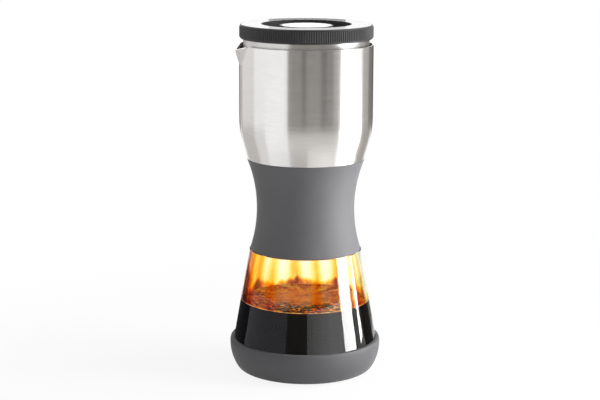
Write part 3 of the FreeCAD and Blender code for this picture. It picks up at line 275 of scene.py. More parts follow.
@dataclass(frozen=True)
class BrushedStainless:
    """Stainless steel sheet, drawn to shape and brushed round or spun.

    Fine lines one way keep reflections sharp along them and smear them across, so that
    a tall lamp shows as a clean upright band on a wall that is brushed round.
    """

    name: str
    colour: str = "#eeedeb"
    roughness: float = 0.22
    stretch: float = 0.78
    grain: Grain = Grain.ROUND
    line_mm: float = 0.5
    line_depth_mm: float = 0.002
    sweep_mm: float = 14.0
    haze_mm: float = 30.0
    roughness_spread: float = 0.015

    def lines(self, tree: bpy.types.NodeTree, place: bpy.types.NodeSocket) -> bpy.types.NodeSocket:
        """Height of the brushed lines.

        Args:
            tree: The material's tree.
            place: Object coordinates.

        Returns:
            Socket from 0 to 1.
        """
        parts = add_node(tree, "SeparateXYZ", {"Vector": place})
        if self.grain is Grain.SPUN:
            reach = add_node(tree, "VectorMath", {
                0: add_node(tree, "CombineXYZ", {
                    "X": parts.outputs["X"], "Y": parts.outputs["Y"]}).outputs["Vector"]},
                operation="LENGTH")
            across = reach.outputs["Value"]
        else:
            across = parts.outputs["Z"]
        # Brush lines are some 0.05 mm apart in the real thing, drawn at half a millimetre.
        fine = add_node(tree, "Math", {0: across, 1: 1 / (self.line_mm * MM)}, operation="MULTIPLY")
        along = add_node(tree, "VectorMath", {
            0: place, "Scale": 1 / (self.sweep_mm * MM)}, operation="SCALE")
        flat = add_node(tree, "SeparateXYZ", {"Vector": along.outputs["Vector"]})
        where = add_node(tree, "CombineXYZ", {
            "X": flat.outputs["X"], "Y": flat.outputs["Y"], "Z": fine.outputs["Value"]})
        return add_node(tree, "TexNoise", {
            "Vector": where.outputs["Vector"], "Scale": 1.0, "Detail": 3.0,
            "Roughness": 0.65}).outputs["Fac"]

    def build(self) -> bpy.types.Material:
        """Make the material.

        Returns:
            The finished material.
        """
        material, tree = blank_material(self.name)
        place = add_node(tree, "TexCoord").outputs["Object"]
        line = self.lines(tree, place)
        cloud = add_node(tree, "TexNoise", {
            "Vector": place, "Scale": 1 / (self.haze_mm * MM), "Detail": 2.0})
        gloss = add_node(tree, "MapRange", {
            "Value": line, "From Min": NOISE_LOW, "From Max": NOISE_HIGH,
            "To Min": self.roughness - self.roughness_spread,
            "To Max": self.roughness + self.roughness_spread})
        shade = add_node(tree, "MapRange", {
            "Value": line, "From Min": 0.25, "From Max": 0.75, "To Min": 0.93, "To Max": 1.04})
        haze = add_node(tree, "MapRange", {
            "Value": cloud.outputs["Fac"], "From Min": NOISE_LOW, "From Max": NOISE_HIGH,
            "To Min": 0.97, "To Max": 1.02})
        both = add_node(tree, "Math", {
            0: shade.outputs["Result"], 1: haze.outputs["Result"]}, operation="MULTIPLY")
        colour = add_node(tree, "VectorMath", {
            0: linear(self.colour)[:3], "Scale": both.outputs["Value"]}, operation="SCALE")
        bump = add_node(tree, "Bump", {
            "Strength": 0.25, "Distance": self.line_depth_mm * MM, "Height": line})
        round_axis = add_node(tree, "Tangent", direction_type="RADIAL", axis="Z")
        shader = add_node(tree, "BsdfPrincipled", {
            "Base Color": colour.outputs["Vector"], "Metallic": 1.0,
            "Roughness": gloss.outputs["Result"], "Normal": bump.outputs["Normal"],
            "Anisotropic": self.stretch, "Anisotropic Rotation": 0.25,
            "Tangent": round_axis.outputs["Tangent"]})
        close_surface(tree, shader)
        return material


@dataclass(frozen=True)
class WovenMesh:
    """Plain woven stainless mesh, as fine as a coffee filter needs.

    The eye sees a grey cloth with a regular grid of fine wires.
    """

    name: str
    colour: str = "#b9b9b6"
    pitch_mm: float = 0.8
    wire_mm: float = 0.1

    def build(self) -> bpy.types.Material:
        """Make the material.

        Returns:
            The finished material.
        """
        material, tree = blank_material(self.name)
        place = add_node(tree, "TexCoord").outputs["Object"]
        parts = add_node(tree, "SeparateXYZ", {"Vector": place})
        waves = []
        # The real mesh has a wire every 0.1 mm, drawn at 0.8 mm so that the weave shows.
        for axis in ("X", "Y"):
            turn = add_node(tree, "Math", {
                0: parts.outputs[axis], 1: math.tau / (self.pitch_mm * MM)}, operation="MULTIPLY")
            waves.append(add_node(tree, "Math", {0: turn.outputs["Value"]}, operation="SINE"))
        weave = add_node(tree, "Math", {
            0: waves[0].outputs["Value"], 1: waves[1].outputs["Value"]}, operation="MULTIPLY")
        # The ramp darkens the weave where it dips and lightens its crests. This is painted shade
        # and painted highlight laid over the mesh's own grey.
        shade = add_node(tree, "ValToRGB", {"Fac": weave.outputs["Value"]}, stops=[
            (0.0, "#3c3c3a"), (0.35, self.colour), (1.0, "#d8d8d4")])
        bump = add_node(tree, "Bump", {
            "Strength": 0.8, "Distance": self.wire_mm * MM, "Height": weave.outputs["Value"]})
        shader = add_node(tree, "BsdfPrincipled", {
            "Base Color": shade.outputs["Color"], "Metallic": 0.9, "Roughness": 0.4,
            "Normal": bump.outputs["Normal"]})
        close_surface(tree, shader)
        return material


@dataclass(frozen=True)
class BorosilicateGlass:
    """Clear borosilicate glass, blown into a mould.

    The eye sees hard bright lamp reflections and dark edges, and a slight waviness.
    """

    name: str
    colour: str = "#fbfdfc"
    ior: float = 1.473
    wave_mm: float = 26.0
    wave_depth_mm: float = 0.15

    def build(self) -> bpy.types.Material:
        """Make the material.

        Returns:
            The finished material.
        """
        material, tree = blank_material(self.name)
        place = add_node(tree, "TexCoord").outputs["Object"]
        wave = add_node(tree, "TexNoise", {
            "Vector": place, "Scale": 1 / (self.wave_mm * MM), "Detail": 1.0})
        bump = add_node(tree, "Bump", {
            "Strength": 0.2, "Distance": self.wave_depth_mm * MM,
            "Height": wave.outputs["Fac"]})
        shader = add_node(tree, "BsdfPrincipled", {
            "Base Color": linear(self.colour), "Roughness": 0.0, "IOR": self.ior,
            "Transmission Weight": 1.0, "Normal": bump.outputs["Normal"]})
        close_surface(tree, shader)
        return material


@dataclass(frozen=True)
class SteepedCoffee:
    """Cold brew concentrate standing in the carafe, with foam where the streams fall in.

    The eye sees a near black mirror below, and above it a surface of golden brown foam in
    swirls, with tan lines of bubbles where it meets the glass.
    """

    name: str
    depth_colour: str = "#0b0706"
    streak_mm: float = 5.0
    variation: float = 0.18
    least_foam: float = 0.02
    # Strength of the painted backlight glow in the foam.
    glow: float = 0.22

    def build(self) -> bpy.types.Material:
        """Make the material.

        Returns:
            The finished material.
        """
        material, tree = blank_material(self.name)
        foam = add_node(tree, "Attribute", attribute_name=FOAM_COVER).outputs["Fac"]
        place = add_node(tree, "TexCoord").outputs["Object"]
        swirl = add_node(tree, "TexNoise", {
            "Vector": place, "Scale": 1 / (self.streak_mm * MM), "Detail": 5.0,
            "Roughness": 0.62, "Distortion": 1.6})
        vary = add_node(tree, "MapRange", {
            "Value": swirl.outputs["Fac"], "From Min": 0.28, "From Max": 0.72,
            "To Min": -self.variation, "To Max": self.variation})
        level = add_node(tree, "Math", {0: foam, 1: vary.outputs["Result"]}, operation="ADD")
        present = add_node(tree, "Math", {0: foam, 1: self.least_foam}, operation="GREATER_THAN")
        shown = add_node(tree, "Math", {
            0: level.outputs["Value"], 1: present.outputs["Value"]},
            operation="MULTIPLY", use_clamp=True)
        colour = add_node(tree, "ValToRGB", {"Fac": shown.outputs["Value"]}, stops=[
            (0.0, self.depth_colour), (0.10, "#341004"), (0.24, "#a83c06"), (0.42, "#f0700c"),
            (0.60, "#ff9c1e"), (0.80, "#ffc460"), (1.0, "#fff0c8")])
        gloss = add_node(tree, "MapRange", {
            "Value": shown.outputs["Value"], "To Min": 0.03, "To Max": 0.4})
        # Light from behind soaks up through the foam. The emission paints that light in as a glow
        # in the foam's own colour: a painted backlight.
        shader = add_node(tree, "BsdfPrincipled", {
            "Base Color": colour.outputs["Color"], "Roughness": gloss.outputs["Result"],
            "IOR": 1.34, "Specular IOR Level": 0.04,
            "Emission Color": colour.outputs["Color"], "Emission Strength": self.glow})
        close_surface(tree, shader)
        return material


@dataclass(frozen=True)
class RunningCoffee:
    """Coffee that runs down the inside of the glass, lit from behind.

    Its colour follows its depth: a thin film is cream, a thick one amber to red brown.
    """

    name: str
    streak_mm: float = 1.8
    streak_length_mm: float = 30.0

    def build(self) -> bpy.types.Material:
        """Make the material.

        Returns:
            The finished material.
        """
        material, tree = blank_material(self.name)
        depth = add_node(tree, "Attribute", attribute_name=FILM_DEPTH).outputs["Fac"]
        place = add_node(tree, "TexCoord").outputs["Object"]
        across, along = 1 / (self.streak_mm * MM), 1 / (self.streak_length_mm * MM)
        squeeze = add_node(tree, "Mapping", {"Vector": place, "Scale": (across, across, along)})
        streak = add_node(tree, "TexNoise", {
            "Vector": squeeze.outputs["Vector"], "Scale": 1.0, "Detail": 4.0, "Roughness": 0.6})
        vary = add_node(tree, "MapRange", {
            "Value": streak.outputs["Fac"], "From Min": 0.25, "From Max": 0.75,
            "To Min": 0.75, "To Max": 1.25})
        thick = add_node(tree, "Math", {
            0: depth, 1: vary.outputs["Result"]}, operation="MULTIPLY", use_clamp=True)
        colour = add_node(tree, "ValToRGB", {"Fac": thick.outputs["Value"]}, stops=[
            (0.0, "#fffffa"), (0.10, "#fff6c6"), (0.24, "#ffe480"), (0.42, "#ffc03c"),
            (0.60, "#f59428"), (0.78, "#cc5a1a"), (1.0, "#7e2a0a")])
        # A film this thin bends no light that the eye can see, so its IOR is near that of air.
        shader = add_node(tree, "BsdfPrincipled", {
            "Base Color": colour.outputs["Color"], "Roughness": 0.02, "IOR": 1.02,
            "Transmission Weight": 1.0})
        close_surface(tree, shader)
        return material


SLEEVE_SILICONE = SoftTouchMoulding("sleeve_moulded_silicone", "#656567")
BOOT_SILICONE = SoftTouchMoulding("boot_moulded_silicone", "#545456")
GASKET_SILICONE = SoftTouchMoulding("gasket_clear_silicone", "#cfcfc8", roughness=0.5)
SEAL_RUBBER = SoftTouchMoulding("seal_black_rubber", "#232323", roughness=0.5)
SHELL_STEEL = BrushedStainless("shell_brushed_stainless")
CHAMBER_STEEL = BrushedStainless("chamber_brushed_stainless", "#dcdbd8", roughness=0.3)
DISC_STEEL = BrushedStainless("disc_spun_stainless", "#ececea", roughness=0.2, grain=Grain.SPUN)
PLATE_STEEL = BrushedStainless(
    "filter_etched_stainless", "#cfcecb", roughness=0.34, grain=Grain.SPUN)
SCREW_STEEL = BrushedStainless(
    "screw_turned_stainless", "#d0cfcc", roughness=0.25, grain=Grain.SPUN)
MESH_STEEL = WovenMesh("filter_woven_stainless")
CARAFE_GLASS = BorosilicateGlass("carafe_borosilicate_glass")
LID_PLASTIC = SatinPlastic(
    "lid_satin_plastic", "#2f2f30", roughness=0.5, top_roughness=0.08, polished_from_mm=33.0)
LINER_PLASTIC = SatinPlastic("liner_satin_plastic", "#5a5a5c", roughness=0.42)
VALVE_PLASTIC = SatinPlastic("valve_moulded_copolyester", "#3b3b3e", roughness=0.3)
NECK_PLASTIC = SatinPlastic("neck_moulded_nylon", "#2d2d2f", roughness=0.45)
KNOB_PLASTIC = SatinPlastic("knob_moulded_plastic", "#4a4a4c", roughness=0.36)
STANDING_COFFEE = SteepedCoffee("standing_cold_brew")
RUNNING_COFFEE = RunningCoffee("running_cold_brew")

MATERIALS: dict[str, bpy.types.Material] = {}


def dress(finishes: dict[str, Finish]) -> None:
    """Give CAD nodes their finish, with one material for each finish.

    Args:
        finishes: Node name to finish.
    """
    for node_name, finish in finishes.items():
        if finish.name not in MATERIALS:
            MATERIALS[finish.name] = finish.build()
        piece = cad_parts[node_name]
        piece.data.materials.clear()
        piece.data.materials.append(MATERIALS[finish.name])
        LOG.info("%s: %s", node_name, finish.name)


@dataclass
class Vessel:
    """The sleeve, the shell and the stack in the neck with its valve."""

    finishes: dict[str, Finish] = field(default_factory=lambda: {
        "grip_sleeve": SLEEVE_SILICONE,
        "outer_shell": SHELL_STEEL,
        "neck_gasket": GASKET_SILICONE,
        "flange_gasket": GASKET_SILICONE,
        "split_ring": NECK_PLASTIC,
        "neck_nut": NECK_PLASTIC,
        "valve_cup": VALVE_PLASTIC,
        "valve_plug": VALVE_PLASTIC,
        "plug_o_rings": SEAL_RUBBER,
    })

    def build(self) -> None:
        """Dress these pieces."""
        dress(self.finishes)


@dataclass
class BrewChamber:
    """The steel chamber that lifts out, with its drain fitting and filter."""

    finishes: dict[str, Finish] = field(default_factory=lambda: {
        "brew_chamber": CHAMBER_STEEL,
        "drain_collar": VALVE_PLASTIC,
        "chamber_seal": SEAL_RUBBER,
        "floor_washer": GASKET_SILICONE,
        "drain_nut": VALVE_PLASTIC,
        "filter_gasket": GASKET_SILICONE,
        "filter_frame": KNOB_PLASTIC,
        "fine_filter": MESH_STEEL,
        "coarse_filter": PLATE_STEEL,
        "filter_knob": KNOB_PLASTIC,
        "filter_screw": SCREW_STEEL,
    })

    def build(self) -> None:
        """Dress the chamber and the filter."""
        dress(self.finishes)


@dataclass
class Lid:
    """The ribbed lid with its disc, liner and gasket."""

    finishes: dict[str, Finish] = field(default_factory=lambda: {
        "lid_cap": LID_PLASTIC,
        "lid_disc": DISC_STEEL,
        "lid_liner": LINER_PLASTIC,
        "lid_gasket": GASKET_SILICONE,
    })

    def build(self) -> None:
        """Dress the lid."""
        dress(self.finishes)


def smooth_step(low: float, high: float, value: float) -> float:
    """Ease from 0 at low to 1 at high.

    Args:
        low: Where the step starts.
        high: Where it ends, which may be under low.
        value: Where to read it.

    Returns:
        A share from 0 to 1.
    """
    share = min(max((value - low) / (high - low), 0.0), 1.0)
    return share * share * (3 - 2 * share)


def circle(radius: float, height: float, count: int) -> list[Vector]:
    """Points of a level circle about the axis.

    Args:
        radius: Millimetres from the axis.
        height: Millimetres above the floor.
        count: How many points.

    Returns:
        The points, in millimetres.
    """
    turns = [math.tau * index / count for index in range(count)]
    return [Vector((radius * math.cos(turn), radius * math.sin(turn), height)) for turn in turns]


def closed_piece(
    name: str, rows: Sequence[Sequence[Vector]], wrap_rows: bool = False,
    attribute: str = "", values: Sequence[Sequence[float]] = (),
) -> bpy.types.Object:
    """Make a closed piece from rows of points round the axis.

    Args:
        name: The piece's name.
        rows: Rows of points in millimetres, all of one length.
        wrap_rows: Whether the last row joins the first, or both are capped.
        attribute: Name of an attribute that keeps a value for each point, if any.
        values: Those values, row by row.

    Returns:
        The new piece.
    """
    mesh = bpy.data.meshes.new(name)
    build = bmesh.new()
    layer = build.verts.layers.float.new(attribute) if attribute else None
    grid = [[build.verts.new(point * MM) for point in row] for row in rows]
    for line, row_values in zip(grid, values):
        for vertex, value in zip(line, row_values):
            vertex[layer] = value
    last = len(grid) if wrap_rows else len(grid) - 1
    for index in range(last):
        low, high = grid[index], grid[(index + 1) % len(grid)]
        for column in range(len(low)):
            after = (column + 1) % len(low)
            build.faces.new((low[column], low[after], high[after], high[column]))
    if not wrap_rows:
        build.faces.new(reversed(grid[0]))
        build.faces.new(grid[-1])
    bmesh.ops.recalc_face_normals(build, faces=build.faces)
    build.to_mesh(mesh)
    build.free()
    mesh.shade_smooth()
    piece = bpy.data.objects.new(name, mesh)
    bpy.context.scene.collection.objects.link(piece)
    return piece


@dataclass
class Carafe:
    """The blown glass, in millimetres.

    Its outside is that of the frame's glass. Inside, the frame's glass has a short step behind
    the sleeve's ledge, which would show as a dark ring. Blown glass runs past such a ledge in
    one soft curve, so the wall eases here from ease_low to ease_high. A ray that looks for the
    outer side starts at start_radius, and off_axis is in degrees.
    """

    ease_low: float = 74.0
    ease_high: float = 110.0
    sleeve_gap: float = 0.1
    heel: float = 14.0
    heel_rows: int = 14
    row_height: float = 1.0
    corner: float = 0.02
    columns: int = 256
    start_radius: float = 80.0
    off_axis: float = 0.37
    glass: BVHTree = field(init=False)
    outer_floor: float = field(init=False)
    top: float = field(init=False)
    ledge: float = field(init=False)

    def __post_init__(self) -> None:
        """Read the glass of the frame, and the ledge in it that the sleeve stands on."""
        low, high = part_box("glass_carafe")
        self.outer_floor = low[2] / MM
        self.top = high[2] / MM
        self.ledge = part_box("grip_sleeve")[0][2] / MM - self.sleeve_gap
        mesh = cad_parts["glass_carafe"].data
        points = [vertex.co for vertex in mesh.vertices]
        self.glass = BVHTree.FromPolygons(points, [face.vertices for face in mesh.polygons])

    def wall(self, height: float, start: float) -> float:
        """Radius at which a level ray meets the frame's glass.

        Args:
            height: Millimetres above the floor.
            start: Radius that the ray starts from, 0 for the inside.

        Returns:
            Radius in millimetres.
        """
        # The ray runs a little beside the X axis, to miss any edge of the mesh there.
        slant = math.radians(self.off_axis)
        ray = Vector((math.cos(slant), math.sin(slant), 0))
        spot = ray * start * MM + Vector((0, 0, height * MM))
        hit = self.glass.ray_cast(spot, -ray if start else ray)[0]
        return hit.to_2d().length / MM

    def inside(self, height: float) -> float:
        """Inner radius of the glass, eased past the ledge.

        Args:
            height: Millimetres above the floor.

        Returns:
            Radius in millimetres.
        """
        if not self.ease_low < height < self.ease_high:
            return self.wall(height, 0)
        span = self.ease_high - self.ease_low
        low, high = self.wall(self.ease_low, 0), self.wall(self.ease_high, 0)
        low_slope = (low - self.wall(self.ease_low - 1, 0)) * span
        high_slope = (self.wall(self.ease_high + 1, 0) - high) * span
        share = (height - self.ease_low) / span
        square, cube = share ** 2, share ** 3
        ends = (2 * cube - 3 * square + 1) * low + (3 * square - 2 * cube) * high
        return ends + (cube - 2 * square + share) * low_slope + (cube - square) * high_slope

    @property
    def inner_floor(self) -> float:
        """Height of the glass floor's upper side, in millimetres."""
        # The ray falls a little beside the axis, to miss any corner of the mesh there.
        spot = Vector((0.1, 0.1, self.ledge)) * MM
        return self.glass.ray_cast(spot, Vector((0, 0, -1)))[0].z / MM

    def heights(self, foot: float) -> list[float]:
        """Heights of the rows, close together in the heel and one on each side of the ledge.

        Args:
            foot: Where the wall starts.

        Returns:
            Heights from the foot to the top.
        """
        rows = [foot + self.heel * (row / self.heel_rows) ** 2 for row in range(self.heel_rows + 1)]
        count = round((self.top - rows[-1]) / self.row_height)
        start = rows[-1]
        rows += [start + (self.top - start) * (row + 1) / count for row in range(count)]
        clear = 4 * self.corner
        rows = [height for height in rows if abs(height - self.ledge) > clear]
        return sorted(rows + [self.ledge - self.corner, self.ledge + self.corner])

    def build(self) -> None:
        """Make the glass, from under its floor up the outside and down the inside."""
        rows = []
        for height in self.heights(self.outer_floor):
            inset = min(max(height, self.outer_floor + self.corner), self.top - self.corner)
            rows.append(circle(self.wall(inset, self.start_radius), height, self.columns))
        for height in reversed(self.heights(self.inner_floor)):
            inset = min(max(height, self.inner_floor + self.corner), self.top - self.corner)
            rows.append(circle(self.inside(inset), height, self.columns))
        glass = closed_piece("carafe_glass", rows)
        glass.data.materials.append(CARAFE_GLASS.build())
        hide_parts("glass_carafe")
        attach(glass, "vessel")
        LOG.info("%s: %d faces", glass.name, len(glass.data.polygons))


@dataclass
class Boot:
    """The moulded boot under the glass, in millimetres.

    The frame's boot reaches some 3 mm further up the glass than the real one does. So what lies
    above its widest part is drawn together here, down the slope of the glass to a lower rim.
    """

    widest: float = 21.0
    rim: float = 25.1

    def build(self, carafe: Carafe) -> None:
        """Make the boot from the frame's.

        Args:
            carafe: The glass that it fits.
        """
        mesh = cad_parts["base_boot"].data.copy()
        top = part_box("base_boot")[1][2] / MM
        drop = (top - self.rim) / (top - self.widest)
        start = self.widest + 1
        beyond = carafe.start_radius
        fall = carafe.wall(start, beyond) - carafe.wall(top, beyond)
        slope = fall / (top - start)
        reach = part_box("base_boot")[1][0]
        for vertex in mesh.vertices:
            down = max(0.0, vertex.co.z - self.widest * MM) * drop
            across = vertex.co.to_2d().length
            if down:
                vertex.co.xy *= min(across + slope * down, reach) / across
                vertex.co.z -= down
        mesh.materials.clear()
        mesh.materials.append(BOOT_SILICONE.build())
        boot = bpy.data.objects.new("silicone_boot", mesh)
        bpy.context.scene.collection.objects.link(boot)
        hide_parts("base_boot")
        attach(boot, "vessel")
        LOG.info("%s: %d faces", boot.name, len(mesh.polygons))


@dataclass
class Coffee:
    """Coffee standing in the carafe and running down its wall, in millimetres.

    Both reach wall_overlap into the glass, so that no gap of air shows. The terms of depth,
    ripple and foam are shares and noise scales that were matched to the photograph.
    """

    carafe: Carafe
    surface_height: float = 55.5
    film_top: float = 109.0
    wall_overlap: float = 0.15
    film_least: float = 0.20
    film_most: float = 0.75
    stream_count: int = 8
    first_stream: float = 42.0
    stream_width: float = 2.3
    stream_spread: float = 1.3
    curtain_height: float = 59.0
    wave_height: float = 0.7
    film_rings: int = 96
    pool_rings: int = 110
    pool_rows: int = 14
    columns: int = 360
    foot_rows: tuple[float, ...] = (1.0, 2.2, 4.0, 7.0, 11.0)
    rim_row: float = 0.45
    wall_start: float = 0.3
    film_lift: float = 0.2
    camera_side: float = math.radians(-104.0)
    heavy_side: float = math.radians(84.0)
    inside_mean: float = field(init=False)

    def __post_init__(self) -> None:
        """Read how wide the glass is where the coffee runs."""
        self.inside_mean = self.carafe.inside((self.surface_height + self.film_top) / 2)

    def depth(self, angle: float, height: float) -> float:
        """How thick the running coffee is, as a share of its most.

        Args:
            angle: Radians round the axis.
            height: Millimetres above the floor.

        Returns:
            A share from 0 to 1.
        """
        fallen = (self.film_top - height) / (self.film_top - self.surface_height)
        # Streams lie evenly spaced, and wander, widen and thicken as they fall.
        wander = 0.05 * fallen * self.fine(angle, 7.0, height / 18 + 3.0)
        pitch = math.tau / self.stream_count
        offset = (angle + wander - math.radians(self.first_stream) + pitch / 2) % pitch - pitch / 2
        width = self.stream_width * (1 + self.stream_spread * fallen)
        stream = math.exp(-(offset * self.inside_mean / width) ** 2)
        # The sheet that they throw up has tips like flames, and is thickest at the back.
        away = 0.5 - 0.5 * math.cos(angle - self.camera_side)
        flame = self.curtain_height + 2.5 * self.fine(angle, 16.0, 1.7)
        flame += 2.5 * self.fine(angle, 44.0, 5.1) + 3.5 * stream
        curtain = smooth_step(flame + 3.0, flame - 3.0, height) * (0.25 + 0.75 * away)
        # The film is thin but for one heavy side, and streaked.
        streak = 0.5 + 0.5 * self.fine(angle, 46.0, height / 30 + 9.0)
        left = max(0.0, math.cos(angle - self.camera_side + self.heavy_side)) ** 8
        running = stream * (0.24 + 0.22 * fallen) * (0.7 + 0.6 * streak) * (1 + 0.6 * left)
        sheet = curtain * (0.42 + 0.34 * streak)
        film = 0.02 + 0.03 * fallen + 0.75 * left * (0.6 + 0.6 * fallen) * (0.4 + 0.8 * streak)
        return min(1.0, film + running + sheet)

    def fine(self, angle: float, count: float, layer: float) -> float:
        """Noise with a given number of features round the axis.

        Args:
            angle: Radians round the axis.
            count: About how many features go round.
            layer: Which pattern.

        Returns:
            A value from about -1 to 1.
        """
        reach = count / math.pi
        return noise.noise(Vector((math.cos(angle) * reach, math.sin(angle) * reach, layer)))

    def ripple(self, radius: float, angle: float) -> float:
        """Height of the waves on the standing coffee.

        Args:
            radius: Millimetres from the axis.
            angle: Radians round the axis.

        Returns:
            Millimetres above the level.
        """
        spot = Vector((math.cos(angle), math.sin(angle), 0)) * radius
        rings = math.sin(radius * 0.95 + 2.2 * noise.noise(spot / 9))
        chop = noise.fractal(spot / 5.5, 0.9, 2.1, 3)
        edge = smooth_step(12.0, 40.0, radius)
        return self.wave_height * (0.45 * rings * edge + (0.25 + 0.75 * edge) * chop)

    def foam(self, radius: float, angle: float) -> float:
        """How much foam lies on the standing coffee.

        Args:
            radius: Millimetres from the axis.
            angle: Radians round the axis.

        Returns:
            A share from 0 to 1.
        """
        spot = Vector((math.cos(angle), math.sin(angle), 0)) * radius
        inward = self.rim_radius - radius
        # Veins are thin lines of bubbles that drift as they run inward.
        drift = inward / 3.0 + 1.3 * noise.noise(spot / 8)
        vein = 1 - min(1.0, abs(self.fine(angle, 15.0, drift)) / 0.10)
        open_band = smooth_step(1.0, 3.5, inward) * smooth_step(40.0, 12.0, inward)
        near = 0.5 + 0.5 * math.cos(angle - self.camera_side)
        # The cover is torn at the back by tongues, and open in a band along the glass in front.
        flames = self.fine(angle, 22.0, 0.4 + radius / 40)
        flames += 0.6 * self.fine(angle, 58.0, radius / 25)
        cover = 0.44 + 0.20 * noise.noise(spot / 14 + Vector((3, 8, 1)))
        cover += 0.45 * flames * smooth_step(14.0, 30.0, radius) * (1 - 0.7 * near)
        cover = max(cover, 0.3 * (1 - near)) * (1 - open_band * near ** 3)
        rim = smooth_step(1.3, 0.3, inward) * max(0.0, 0.45 + 1.1 * self.fine(angle, 30.0, 2.0))
        lines = 0.85 * vein * smooth_step(16.0, 36.0, radius) * (0.25 + 0.75 * near)
        return min(1.0, max(0.03, cover + lines + 0.7 * rim))

    @property
    def rim_radius(self) -> float:
        """Radius of the standing coffee at its surface, in millimetres."""
        return self.carafe.inside(self.surface_height) + self.wall_overlap

    def angles(self) -> list[float]:
        """Angles of the columns, in radians."""
        return [math.tau * column / self.columns for column in range(self.columns)]

    def finish_piece(self, piece: bpy.types.Object, finish: Finish) -> None:
        """Give a piece its material and let it ride on the vessel.

        Args:
            piece: The piece.
            finish: Its finish.
        """
        piece.data.materials.append(finish.build())
        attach(piece, "vessel")
        LOG.info("%s: %d faces", piece.name, len(piece.data.polygons))

    def build_film(self) -> None:
        """Make the film and the streams, one skin that is thick where a stream runs."""
        outer, inner, depths = [], [], []
        for row in range(self.film_rings + 1):
            rise = (self.film_top - self.surface_height) * row / self.film_rings
            height = self.surface_height + self.film_lift + rise
            wall = self.carafe.inside(height) + self.wall_overlap
            depth = [self.depth(angle, height) for angle in self.angles()]
            outer.append(circle(wall, height, self.columns))
            skins = [wall - self.film_least - self.film_most * d for d in depth]
            inner.append([Vector((skin * math.cos(a), skin * math.sin(a), height))
                          for a, skin in zip(self.angles(), skins)])
            depths.append(depth)
        rows = outer + inner[::-1]
        film = closed_piece("running_coffee", rows, True, FILM_DEPTH, depths + depths[::-1])
        self.finish_piece(film, RUNNING_COFFEE)

    def build_pool(self) -> None:
        """Make the standing coffee, from the glass floor to its rippled surface."""
        floor = self.carafe.inner_floor
        heights = [floor - self.wall_overlap] + [floor + row for row in self.foot_rows]
        start = heights[-1]
        heights += [start + (self.surface_height - start) * (row + 1) / self.pool_rows
                    for row in range(self.pool_rows)]
        heights.insert(-1, self.surface_height - self.rim_row)
        rows, values = [], []
        for height in heights:
            wall = self.carafe.inside(max(height, floor + self.wall_start)) + self.wall_overlap
            rows.append(circle(wall, height, self.columns))
            values.append([0.0] * self.columns)
        values[-1] = [self.foam(self.rim_radius, a) for a in self.angles()]
        for ring in range(1, self.pool_rings):
            radius = self.rim_radius * (1 - ring / self.pool_rings) ** 0.8
            calm = smooth_step(0.0, 2.5, self.rim_radius - radius)
            rows.append([
                Vector((radius * math.cos(a), radius * math.sin(a),
                        self.surface_height + calm * self.ripple(radius, a)))
                for a in self.angles()])
            values.append([self.foam(radius, a) for a in self.angles()])
        pool = closed_piece("standing_coffee", rows, False, FOAM_COVER, values)
        self.finish_piece(pool, STANDING_COFFEE)

    def build(self) -> None:
        """Make all the coffee."""
        self.build_pool()
        self.build_film()


def white_rays(tree: bpy.types.NodeTree) -> bpy.types.NodeSocket:
    """One for the rays that see the plain white background, and nought for the rest.

    Args:
        tree: Tree to add to.

    Returns:
        The socket.
    """
    path = add_node(tree, "LightPath")
    first = add_node(tree, "Math", {
        0: path.outputs["Is Camera Ray"], 1: path.outputs["Is Glossy Ray"]}, operation="MAXIMUM")
    return add_node(tree, "Math", {
        0: first.outputs["Value"], 1: path.outputs["Is Transmission Ray"]},
        operation="MAXIMUM").outputs["Value"]


@dataclass(frozen=True)
class Softbox:
    """A rectangular lamp that stands round the object.

    Bearings are degrees from the side that the camera is on, towards the camera's right.
    """

    name: str
    bearing: float
    distance: float
    width: float
    low: float
    high: float
    radiance: float


@dataclass(frozen=True)
class Card:
    """A curved card round the object, which only its reflections show.

    It stands from low to high where near is 0, and otherwise lies on the floor, from near
    to distance. One that is inside_glass also shows in reflections from within the glass,
    and one that is a backlight shows through the glass alone.
    """

    name: str
    first_bearing: float
    last_bearing: float
    colour: str
    distance: float = 1.0
    low: float = 0.0
    high: float = 0.085
    near: float = 0.0
    strength: float = 1.0
    inside_glass: bool = False
    backlight: bool = False


def glass_card(
    name: str, first_bearing: float, last_bearing: float, colour: str, strength: float = 1.0,
) -> Card:
    """A low card close round the object, which the glass shows in front of the coffee.

    Args:
        name: The card's name.
        first_bearing: Where it starts.
        last_bearing: Where it ends.
        colour: Its hex colour.
        strength: How bright it is.

    Returns:
        The card.
    """
    return Card(name, first_bearing, last_bearing, colour, distance=0.15, high=0.066,
                strength=strength, inside_glass=True)


